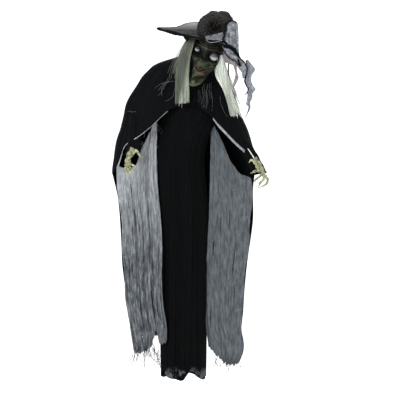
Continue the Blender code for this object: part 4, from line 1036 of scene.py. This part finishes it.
def make_crown(finish, thread_finish):
    """Crumpled round crown: pleats from the band, ring folds round a hollow at the front, which the crown's
    finish darkens with painted shade.
    """
    pleats = fold_noise(71, (9, 0.0030), (17, 0.0022), (31, 0.0012))
    hollow = (0.092, 0.004)

    def place(u, v):
        turn = FULL_TURN * u
        mix = ease(v, 0.0, 0.22)
        x, y, z = (low + (high - low) * mix
                   for low, high in zip(hat_ring(turn, 0.99), crown_dome(turn, v * math.pi / 2)))
        front = ease(np.sin(turn), 0.1, 0.7) * (1 - ease(v, 0.75, 0.98))
        away = np.hypot(x - hollow[0], z - hollow[1])
        pit = -0.026 * np.exp(-(away / 0.026) ** 2) + 0.008 * np.exp(-((away - 0.038) / 0.011) ** 2)
        angle = np.arctan2(z - hollow[1], x - hollow[0])
        ray = 0.0035 * np.sin(13 * angle + 40 * away) * np.exp(-((away - 0.045) / 0.022) ** 2)
        bump = pleats(u, v) * ease(v, 0.02, 0.3) * (1 - 0.4 * ease(v, 0.85, 1))
        bump = bump + 0.0042 * lumps(x, z + 0.6 * y, 72, 80)
        out = bump + front * (pit + ray)
        notch = -0.006 * np.exp(-((x - 0.110) / 0.006) ** 2) * ease(v, 0.7, 0.9)
        return (x - out * np.cos(turn) * 0.9, y - out * np.sin(turn) * 0.9,
                z + 0.6 * bump * ease(v, 0.5, 1) + notch)

    crown = cloth("hat_crown_net", 220, 110, place, finish, 0.0014, (0.6, 0.2), weld=True)
    threads = crown_threads(thread_finish)
    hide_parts("hat_crown")
    for obj in (crown, threads):
        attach(obj, "head")


def make_crown_finish():
    """Dark net with a painted brownish highlight on its crumpled edges and painted shade in the hollow at the
    front.
    """
    made = make_tulle("dark_tulle", (0.002, 0.0019, 0.0018), (0.025, 0.0238, 0.023))
    # Painted highlight: Pointiness lightens the crumpled ridges brownish.
    lift = made.ramp(made.node("NewGeometry").outputs["Pointiness"], (0.50, (0, 0, 0)), (0.62, (1, 1, 1)))
    made.overlay(made.times(lift, 0.75), (0.078, 0.074, 0.070))
    # Painted shade in the hollow at the crown's front, darkest at its middle.
    hollow = made.node("VectorMath", operation="DISTANCE")
    made.link(made.place.outputs["Object"], hollow.inputs[0])
    hollow.inputs[1].default_value = (0.094, -0.405, 0.002)
    painted_pit_shade = made.ramp(hollow.outputs["Value"], (0.030, (1, 1, 1)), (0.062, (0, 0, 0)))
    made.overlay(made.times(painted_pit_shade, 0.9), (0.0025, 0.0022, 0.002))
    return made


def make_brim_finish():
    """Net that pales towards the raised back and darkens along the front."""
    made = make_tulle("brim_tulle", (0.008, 0.0075, 0.0075), (0.058, 0.058, 0.059), 0.10)
    made.overlay(made.times(made.span(made.axis("Z"), -0.004, 0.034), 0.85), (0.30, 0.31, 0.31))
    return made


def make_ruffles(finish):
    """Rings of crumpled net standing round the hollow at the crown's front."""
    for number, (radius, width, depth, count) in enumerate(
            rows(".027 .015 -.402 9, .04 .017 -.404 14, .053 .018 -.396 19, .067 .016 -.38 25")):
        frill = fold_noise(130 + number, (count, 0.0040), (count * 2.3, 0.0022), (count * 4.1, 0.0012))
        sway = fold_noise(140 + number, (2, 0.005), (3, 0.004), (5, 0.002))

        def place(u, v, radius=radius, width=width, depth=depth, frill=frill, sway=sway):
            turn = FULL_TURN * u
            reach = radius + width * v + sway(u, 0 * v) + 0.3 * frill(u, v) * v
            x = 0.096 + reach * np.cos(turn) * 1.06
            z = 0.010 + reach * np.sin(turn) * 0.86
            dome = np.clip(1 - ((x - 0.104) / 0.096) ** 2 - ((z - CROWN_Z) / 0.128) ** 2, 0, 1)
            surface = CROWN_Y - 0.094 * dome ** 0.5
            return x, np.maximum(surface, depth - 0.02) - 0.004 - 0.010 * np.sin(math.pi * v) + frill(u,
                v) * (0.3 + v), z

        obj = cloth("hat_ruffle_" + str(number + 1), 200, 10, place, finish, STRIP_WALL, (0.5, 0.03),
                    weld=True)
        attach(obj, "head")


def sewn_strips(finishes, strips):
    """Make the strips that ride the head, by name."""
    made = {}
    for name, table, finish, *rest in strips:
        made[name] = strip(name, table, finishes[finish], *rest)
        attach(made[name], "head")
    return made


HAT_STRIPS = (
    ("hat_band", rows("""
        .044 -.04 .1316 -.0174 -.418, .046 -.047 .137 -.038 -.428, .05 -.0556 .13 -.0596 -.434"""),
     "soft", (60, 24), 0.0034, 0.016, 81, (0.1, 0.05)),
    ("hat_wrap_gauze", rows("""
        .166 .034 .19 .037 -.372, .148 .018 .204 .022 -.392, .144 -.0149 .2085 -.01 -.405,
        .133 -.05 .2105 -.05 -.418, .145 -.09 .2105 -.099 -.416, .185 -.128 .215 -.138 -.398"""),
     "gauze", (60, 90), 0.0034, 0.012, 82, (0.06, 0.17)),
    ("hat_wrap_back", rows("""
        .135 .03 .17 .04 -.3, .15 .01 .2 .024 -.29, .155 -.03 .206 -.02 -.27, .16 -.07 .209 -.08 -.26"""),
     "gauze", (40, 60), 0.004, 0.01, 83, (0.06, 0.12)),
    ("hat_loop", rows("""
        .1291 -.059 .003 -.438, .141 -.034 .0034 -.43, .144 -.008 .0036 -.42, .1445 .018 .0036 -.412,
        .156 .033 .003 -.398, .173 .039 .0026 -.388, .19 .037 .0028 -.384, .2015 .027 .003 -.388,
        .2065 .01 .0016 -.392"""),
     "black", (6, 90), 0.0008, 0, 84, (0.006, 0.2)),
    ("hat_fold", rows("""
        .1281 -.08 .1281 -.093 -.434, .15 -.081 .1416 -.1167 -.428, .172 -.09 .16 -.14 -.42,
        .195 -.113 .18 -.154 -.408, .21 -.14 .202 -.166 -.396"""),
     "gauze", (40, 60), 0.0022, 0.008, 85, (0.05, 0.1)),
    ("hat_fold_band", rows("""
        .084 -.076 .003 -.441, .115 -.079 .0055 -.441, .138 -.086 .0085 -.44, .162 -.089 .0095 -.436,
        .186 -.104 .0085 -.428, .204 -.128 .006 -.414, .211 -.142 .003 -.404"""),
     "black", (14, 70), 0.0014, 0.002, 86, (0.015, 0.15)),
    ("hat_fold_edge", rows("""
        .13 -.095 .0022 -.44, .1416 -.118 .0028 -.434, .162 -.142 .0026 -.424, .19 -.16 .0026 -.41,
        .215 -.181 .0024 -.392, .222 -.185 .0012 -.386"""),
     "black", (6, 60), 0.0006, 0, 87, (0.005, 0.13)),
    ("hat_under", rows("""
        .134 -.111 .139 -.156 -.412, .16 -.143 .15 -.168 -.404, .1863 -.161 .18 -.179 -.394,
        .214 -.183 .212 -.187 -.384"""),
     "brown", (20, 40), 0.0012, 0, 88, (0.03, 0.1)),
    ("hat_stub", rows("""
        .1614 -.165 .003 -.384, .1604 -.185 .0032 -.38, .16 -.21 .003 -.378, .1606 -.2334 .0022 -.376"""),
     "black", (5, 30), 0.0006, 0, 89, (0.006, 0.07)),
    ("hat_flap", rows("""
        -.064 -.034 -.03 -.04 -.41, -.058 -.048 -.034 -.054 -.402, -.046 -.06 -.042 -.064 -.396"""),
     "black", (12, 16), 0.001, 0, 90, (0.03, 0.03)))
HAT_BAND_EDGE = rows(".05 -.446 -.058, .0695 -.452 -.069, .0993 -.453 -.0668, .129 -.446 -.059")


def make_hat_trim(finishes):
    """Wrap, band, fold, lining and tapes round the hat's front and its figure's left side."""
    made = sewn_strips(finishes, HAT_STRIPS[:1])
    edge = strands("hat_band_edge", [joined(*path_at(HAT_BAND_EDGE, np.linspace(0, 1, 40)))], 0.0011,
                   finishes["hem"], 1)
    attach(edge, "head")
    made.update(hat_band_edge=edge, **sewn_strips(finishes, HAT_STRIPS[1:]))
    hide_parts("hat_wrap")


STREAMERS = (
    ("streamer_gauze", rows("""
        .2434 -.156 .2558 -.1505 -.335, .25 -.18 .274 -.172 -.33, .2523 -.2 .2925 -.2 -.326,
        .247 -.228 .276 -.228 -.324, .243 -.252 .2732 -.256 -.322, .248 -.276 .2831 -.2806 -.321,
        .256 -.296 .295 -.296 -.32, .2543 -.3179 .2806 -.3179 -.319, .253 -.34 .2782 -.3402 -.318,
        .2484 -.37 .2682 -.3626 -.317, .2585 -.383 .269 -.3874 -.316, .255 -.405 .2608 -.4073 -.316,
        .2434 -.4346 .2452 -.4356 -.315"""),
     "pale", (30, 150), 0.0022, 0.002, 91, (0.04, 0.3)),
    ("streamer_inner", rows("""
        .202 -.129 .216 -.139 -.385, .199 -.15 .23 -.156 -.37, .196 -.17 .2459 -.1763 -.355,
        .2136 -.1987 .2523 -.1962 -.345, .2235 -.21 .25 -.213 -.34, .2285 -.23 .245 -.231 -.336,
        .23 -.2434 .2384 -.2434 -.333"""),
     "pale", (30, 60), 0.0022, 0.002, 92, (0.04, 0.12)),
    ("streamer_ribbon", rows("""
        .2061 -.1217 .003 -.41, .2185 -.1465 .0034 -.393, .2334 -.1589 .0032 -.376,
        .2459 -.1763 .0026 -.363, .2523 -.1962 .003 -.356, .2498 -.2161 .0026 -.351,
        .2434 -.2409 .0036 -.346, .2415 -.2583 .004 -.342, .2484 -.2782 .003 -.339,
        .2573 -.2955 .003 -.337, .2533 -.3129 .0026 -.335, .2409 -.3253 .0014 -.334"""),
     "black", (6, 120), 0.0006, 0, 93, (0.007, 0.27)),
    ("streamer_thin", rows("""
        .19 -.17 .01 -.365, .1987 -.2136 .0048 -.35, .2012 -.2384 .009 -.346, .1912 -.2682 .007 -.343,
        .1863 -.2881 .0028 -.341, .1937 -.3154 .0062 -.34, .1962 -.3353 .003 -.34"""),
     "brown", (12, 80), 0.001, 0, 94, (0.014, 0.18)))


def make_streamers(finishes):
    made = sewn_strips(finishes, STREAMERS)
    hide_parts("hat_streamer")
    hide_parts("hat_ribbon")


# ---------------------------------------------------------------- hands and sleeves
LEFT_HAND = tables("""
    -.313 -.225 -.588 .0125, -.33 -.232 -.62 .013, -.338 -.238 -.65 .014, -.343 -.24 -.676 .0115;
    -.334 -.238 -.64 .0085, -.3149 -.256 -.6199 .0064, -.296 -.264 -.6 .0074, -.2836 -.27 -.6159 .0056,
    -.266 -.272 -.643 .0014; -.336 -.24 -.645 .0085, -.337 -.256 -.655 .0062, -.3253 -.266 -.6645 .0072,
    -.311 -.272 -.6725 .005, -.296 -.272 -.675 .0012; -.3437 -.24 -.67 .0078, -.349 -.256 -.69 .0062,
    -.342 -.264 -.706 .0062, -.333 -.266 -.7255 .0012; -.34 -.242 -.672 .0076, -.336 -.26 -.692 .006,
    -.327 -.267 -.705 .006, -.3155 -.268 -.7215 .0012; -.334 -.242 -.668 .0072, -.324 -.26 -.686 .0056,
    -.314 -.266 -.699 .0056, -.302 -.266 -.715 .0012""")
RIGHT_HAND = tables("""
    .29 -.225 -.638 .0125, .311 -.232 -.6661 .013, .324 -.238 -.6944 .014, .333 -.24 -.718 .012;
    .314 -.24 -.702 .01, .304 -.254 -.678 .0094, .2915 -.264 -.6585 .008, .274 -.268 -.6465 .0062,
    .2615 -.268 -.66 .0014; .32 -.24 -.698 .008, .3075 -.256 -.697 .0062, .2906 -.266 -.702 .0062,
    .268 -.268 -.713 .0012; .328 -.24 -.716 .0078, .315 -.258 -.728 .006, .3 -.266 -.739 .006,
    .2906 -.268 -.75 .0042, .297 -.268 -.764 .0012; .336 -.24 -.722 .008, .3343 -.256 -.742 .0062,
    .3184 -.266 -.759 .006, .3065 -.268 -.785 .0012; .342 -.24 -.722 .008, .354 -.252 -.74 .0064,
    .352 -.26 -.758 .0062, .338 -.264 -.772 .005, .31 -.266 -.783 .0012""")


def make_bone():
    made = Finish("aged_bone", (0.42, 0.42, 0.26), 0.55, specular=0.35)
    stain = made.noise(75, 6, rough=0.65)
    fine = made.noise(420, 4)
    tone = made.ramp(stain, (0.32, (0.045, 0.048, 0.022)), (0.49, (0.225, 0.232, 0.125)),
                     (0.70, (0.47, 0.48, 0.33)))
    # Painted shade in the hollows between knuckles and fingers: low Pointiness darkens the tone.
    hollow = made.node("NewGeometry").outputs["Pointiness"]
    crease = made.ramp(hollow, (0.44, (0.10, 0.10, 0.05)), (0.52, (1, 1, 1)))
    made.colour(made.blend(1.0, tone, crease, "MULTIPLY"))
    made.bump(stain, 0.5, 0.0018)
    made.bump(fine, 0.3, 0.0006)
    made.rough(fine, 0.45, 0.7)
    return made


def make_hand(side, fingers, finish):
    """Claw hand: knuckled fingers and palm grown into one skin."""
    paths, sizes = [], []
    for finger in fingers:
        count = 6 * (len(finger) - 1) + 1
        x, y, z, r = path_at(finger, np.linspace(0, 1, count))
        knuckle = 1 + 0.16 * np.cos(2 * math.pi * np.linspace(0, len(finger) - 1, count))
        paths.append(joined(x, y, z))
        sizes.append(np.maximum(r * knuckle, 0.0008))
    hand = strands("claw_hand_" + side, paths, 1.0, finish, 3, sizes)
    melt = hand.modifiers.new("skin", "REMESH")
    melt.mode = "VOXEL"
    melt.voxel_size = 0.0011
    smooth = hand.modifiers.new("soft", "SMOOTH")
    smooth.factor = 0.5
    smooth.iterations = 3
    settle(hand, "claw_hand_" + side, finish)
    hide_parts("hand_" + side)
    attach(hand, "hand_" + side)


def make_sleeve(side, table, finish):
    """Gathered sleeve round the lower arm, open at the cuff, from rows of its centre line and radius."""
    folds = fold_noise(101, (5, 0.0030), (9, 0.0020), (19, 0.0010))

    def place(u, v):
        x, y, z, r = path_at(table, v)
        turn = FULL_TURN * u
        r = r + folds(u, v) * ease(v, 0, 0.4) + 0.0015 * np.sin(30 * v + 3 * turn)
        return x + r * np.cos(turn), y + r * np.sin(turn), z + 0.006 * np.cos(turn) * v

    sleeve = cloth("sleeve_" + side, 110, 70, place, finish, CLOTH_WALL, (0.24, 0.25), weld=True)
    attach(sleeve, "forearm_" + side)


# ---------------------------------------------------------------- hem strips and threads
def cape_front(edge, x, z, lift):
    """Depth of the cape's front at (x, z), a little proud of it."""
    sine = np.clip(np.abs(x / along(edge, z)), 0, 0.999) ** (1 / ROUNDING)
    return SHOULDER_Y - front_reach(z) * np.sqrt(1 - sine ** 2) - lift


def hem_strip(side, edge, table, finish):
    """Pale selvedge along the cape's front hem, from rows of x, z and width."""
    folds = fold_noise(111, (2, 0.0010), (5, 0.0007))

    def place(u, v):
        x, z, width = path_at(table, v)
        z = z - u * width
        return x, cape_front(edge, x, np.maximum(z, -0.70), 0.013) + folds(u, v), z

    hem = cloth("cape_hem_" + side, 10, 140, place, finish, 0.0007, (0.02, 0.45))
    bend_with_arm(hem)
    return hem


def surface_threads(side, edge, lines, radius, finish, seed):
    """Threads lying on the cape's front, each a line of (x, z) points with a little wander."""
    draw = np.random.default_rng(seed)
    paths = []
    for line in lines:
        t = np.linspace(0, 1, 14)
        x, z = path_at(line, t)
        x = x + np.cumsum(draw.normal(0, 0.0012, len(t)))
        z = z + np.cumsum(draw.normal(0, 0.0010, len(t)))
        paths.append(joined(x, cape_front(edge, x, z, 0.0105), z))
    threads = strands("cape_threads_" + side, paths, radius, finish)
    bend_with_arm(threads)
    return threads


LEFT_HEM_LINE = rows("""
    -.1391 -.4023 .0035, -.1689 -.4272 .003, -.1987 -.457 .0035, -.2434 -.4967 .0035, -.2836 -.5265 .004,
    -.3397 -.5608 .0055, -.3581 -.5826 .008, -.3676 -.6104 .012, -.38 -.6447 .02, -.394 -.682 .03""")
RIGHT_HEM_LINE = rows("""
    .0844 -.4371 .008, .1093 -.4669 .014, .1391 -.4967 .016, .1788 -.5389 .015, .2185 -.5762 .015,
    .2583 -.6085 .014, .2891 -.6338 .01""")
LEFT_WISPS = tables("""
    -.1192 -.2334, -.155 -.275, -.1887 -.3229; -.11 -.255, -.15 -.262, -.185 -.3; -.128 -.23,
    -.165 -.285, -.172 -.335; -.135 -.262, -.172 -.268, -.205 -.292; -.105 -.29, -.118 -.33, -.15 -.352;
    -.296 -.408, -.318 -.409, -.336 -.404""")
RIGHT_WISPS = tables(".07 -.3, .085 -.35, .082 -.4; .12 -.33, .13 -.38, .16 -.43")


def make_cape_trim(gauze, thread):
    left = hem_strip("left", LEFT_EDGE, LEFT_HEM_LINE, gauze)
    right = hem_strip("right", RIGHT_EDGE, RIGHT_HEM_LINE, gauze)
    left_threads = surface_threads("left", LEFT_EDGE, LEFT_WISPS, 0.00042, thread, 121)
    right_threads = surface_threads("right", RIGHT_EDGE, RIGHT_WISPS, 0.0004, thread, 122)
    return (left, left_threads), (right, right_threads)


def thread_paths(seed, count, box, length):
    """Loose threads hung from random places in box, wandering as they fall."""
    draw = np.random.default_rng(seed)
    (x0, x1), (y0, y1), (z0, z1) = box
    paths = []
    for _ in range(count):
        start = [draw.uniform(x0, x1), draw.uniform(y0, y1), draw.uniform(z0, z1)]
        t = np.linspace(0, 1, 12)
        fall = draw.uniform(*length)
        lean = draw.normal(0, 0.35)
        swing, phase = draw.uniform(0.3, 1) * 0.004, draw.uniform(0, 6.28)
        x = start[0] + lean * fall * t + swing * np.sin(6 * t + phase)
        y = start[1] + swing * np.cos(5 * t + phase)
        paths.append(joined(x, y, start[2] - fall * t))
    return paths


def hang_threads(name, finish, body, groups):
    """Frayed threads below and beside the gauze: groups of (seed, count, box, length range)."""
    paths = [path for seed, count, box, length in groups for path in thread_paths(seed, count, box, length)]
    obj = strands(name, paths, LOOSE_THREAD_RADIUS, finish)
    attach(obj, body)
    return obj


CHEST_LINES = tables("""
    .046 -.265, .04 -.31, .05 -.35, .036 -.388; .06 -.27, .056 -.32, .062 -.365; .032 -.285, .036 -.33,
    .028 -.37; .072 -.262, .066 -.3, .074 -.345; .05 -.3, .058 -.345, .052 -.392; .02 -.3, .026 -.34,
    .02 -.362""")


def make_wisps(finish):
    """Loose hairs down the chest."""
    draw = np.random.default_rng(151)
    paths = []
    for line in CHEST_LINES:
        for _ in range(2):
            t = np.linspace(0, 1, 14)
            x, z = path_at(line, t)
            x = x + draw.normal(0, 0.003) + np.cumsum(draw.normal(0, 0.0008, 14))
            paths.append(joined(x, CHEST_FRONT + 0.006 * np.sin(5 * t) + draw.normal(0, 0.002), z))
    obj = strands("chest_wisps", paths, 0.00024, finish)
    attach(obj, "torso")


# ---------------------------------------------------------------- hardware finishes
def make_metal():
    made = Finish("brushed_steel", (0.52, 0.52, 0.53), 0.32, metallic=1.0)
    scratch = made.noise(260, 5, (1, 1, 0.06))
    smear = made.noise(35, 4)
    made.colour(made.ramp(smear, (0.35, (0.36, 0.355, 0.35)), (0.65, (0.60, 0.60, 0.61))))
    made.bump(scratch, 0.12, 0.0003)
    made.rough(scratch, 0.24, 0.48)
    return made


def make_plastic(name, dark, light, low, high):
    made = Finish(name, light, high)
    grain = made.noise(900, 3)
    smear = made.noise(30, 4)
    made.colour(made.ramp(smear, (0.35, dark), (0.65, light)))
    made.bump(grain, 0.15, 0.0002)
    made.rough(smear, low, high)
    return made


def finish_hardware():
    """Every mechanical part still seen takes the finish of its slot."""
    kinds = {"steel": make_metal(),
             "black_plastic": make_plastic("moulded_black", (0.010, 0.010, 0.011), (0.020, 0.020, 0.022),
                                           0.35, 0.55),
             "white_acetal": make_plastic("acetal", (0.62, 0.61, 0.57), (0.74, 0.73, 0.70), 0.30, 0.45),
             "cell_jacket": make_plastic("cell_sleeve", (0.020, 0.032, 0.060), (0.035, 0.052, 0.090), 0.25,
                                         0.40),
             "circuit_board": make_plastic("board_green", (0.010, 0.060, 0.025), (0.016, 0.085, 0.035),
                                           0.30, 0.50)}
    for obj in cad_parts.values():
        slot = obj.data.materials[0].name.split(".")[0]
        if slot in kinds:
            obj.data.materials[0] = kinds[slot].material


make_stage()
black_cloth = woven_cloth("black_gauze_cloth", (0.0006, 0.0009, 0.0011), (0.0032, 0.0045, 0.0056),
                          CLOTH_THREADS, 0.006)
pale_thread = make_tulle("pale_thread", (0.10, 0.105, 0.11), (0.28, 0.29, 0.30))
dark_thread = make_tulle("dark_thread", (0.010, 0.011, 0.012), (0.045, 0.048, 0.050))
hem_gauze = make_tulle("hem_gauze", (0.16, 0.17, 0.18), (0.40, 0.42, 0.44))
cape_left, cape_right = make_cape(black_cloth)
make_neck_cover(black_cloth)
left_trim, right_trim = make_cape_trim(hem_gauze, pale_thread)
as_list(left_trim)
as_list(right_trim)
make_dress(make_dress_cloth(), black_cloth)
panel_left, panel_right = make_panels(
    make_grey_gauze("left_gauze", (0.012, 0.015, 0.018), (0.066, 0.074, 0.083), (0.230, 0.250, 0.275), 1.0),
    make_grey_gauze("right_gauze", (0.020, 0.024, 0.028), (0.052, 0.061, 0.068), (0.098, 0.112, 0.124), 0.12))
left_threads = hang_threads("threads_left", pale_thread, "upper_arm_left", [
    (161, 26, rows("-.3 -.16, -.14 -.11, -1.6 -1.56"), (0.02, 0.075)),
    (162, 8, rows("-.235 -.195, -.14 -.12, -1.51 -1.49"), (0.03, 0.150)),
    (163, 20, rows("-.29 -.2, -.15 -.138, -.64 -.48"), (0.01, 0.040))])
dark_left = hang_threads("dark_threads_left", dark_thread, "upper_arm_left", [
    (164, 22, rows("-.315 -.165, -.14 -.11, -1.61 -1.54"), (0.03, 0.120)),
    (165, 4, rows("-.202 -.194, -.215 -.205, -.462 -.457"), (0.04, 0.060))])
right_threads = hang_threads("threads_right", dark_thread, "upper_arm_right", [
    (166, 24, rows(".07 .22, -.14 -.11, -1.655 -1.62"), (0.015, 0.060)),
    (167, 2, rows(".168 .176, -.14 -.11, -1.665 -1.655"), (0.07, 0.095))])
make_mask(make_latex())
make_hood(black_cloth)
make_eyes(make_eye_finish())
make_hair(make_hair_finish())
make_wisps(pale_thread)
crown_net = make_crown_finish()
hat_finishes = {"gauze": make_tulle("wrap_gauze", (0.004, 0.005, 0.007), (0.370, 0.400, 0.430), 0.06),
                "soft": make_tulle("band_gauze", (0.030, 0.034, 0.038), (0.20, 0.215, 0.225)),
                "brown": make_tulle("brown_gauze", (0.12, 0.11, 0.115), (0.32, 0.29, 0.30), 0.2),
                "pale": make_tulle("pale_gauze", (0.10, 0.115, 0.130), (0.36, 0.39, 0.42), 0.18),
                "black": black_cloth, "hem": hem_gauze}
make_brim(make_brim_finish(), black_cloth)
make_crown(crown_net, make_tulle("net_thread", (0.010, 0.0095, 0.009), (0.120, 0.115, 0.108)))
make_ruffles(crown_net)
make_hat_trim(hat_finishes)
make_streamers(hat_finishes)
bone = make_bone()
make_hand("left", LEFT_HAND, bone)
make_hand("right", RIGHT_HAND, bone)
make_sleeve("left", rows("""
    -.3 -.15 -.43 .03, -.304 -.168 -.49 .032, -.308 -.188 -.55 .034, -.311 -.196 -.615 .037"""), black_cloth)
make_sleeve("right", rows("""
    .205 -.15 -.5 .03, .235 -.165 -.56 .032, .275 -.18 -.63 .033, .318 -.192 -.715 .034"""), black_cloth)
finish_hardware()
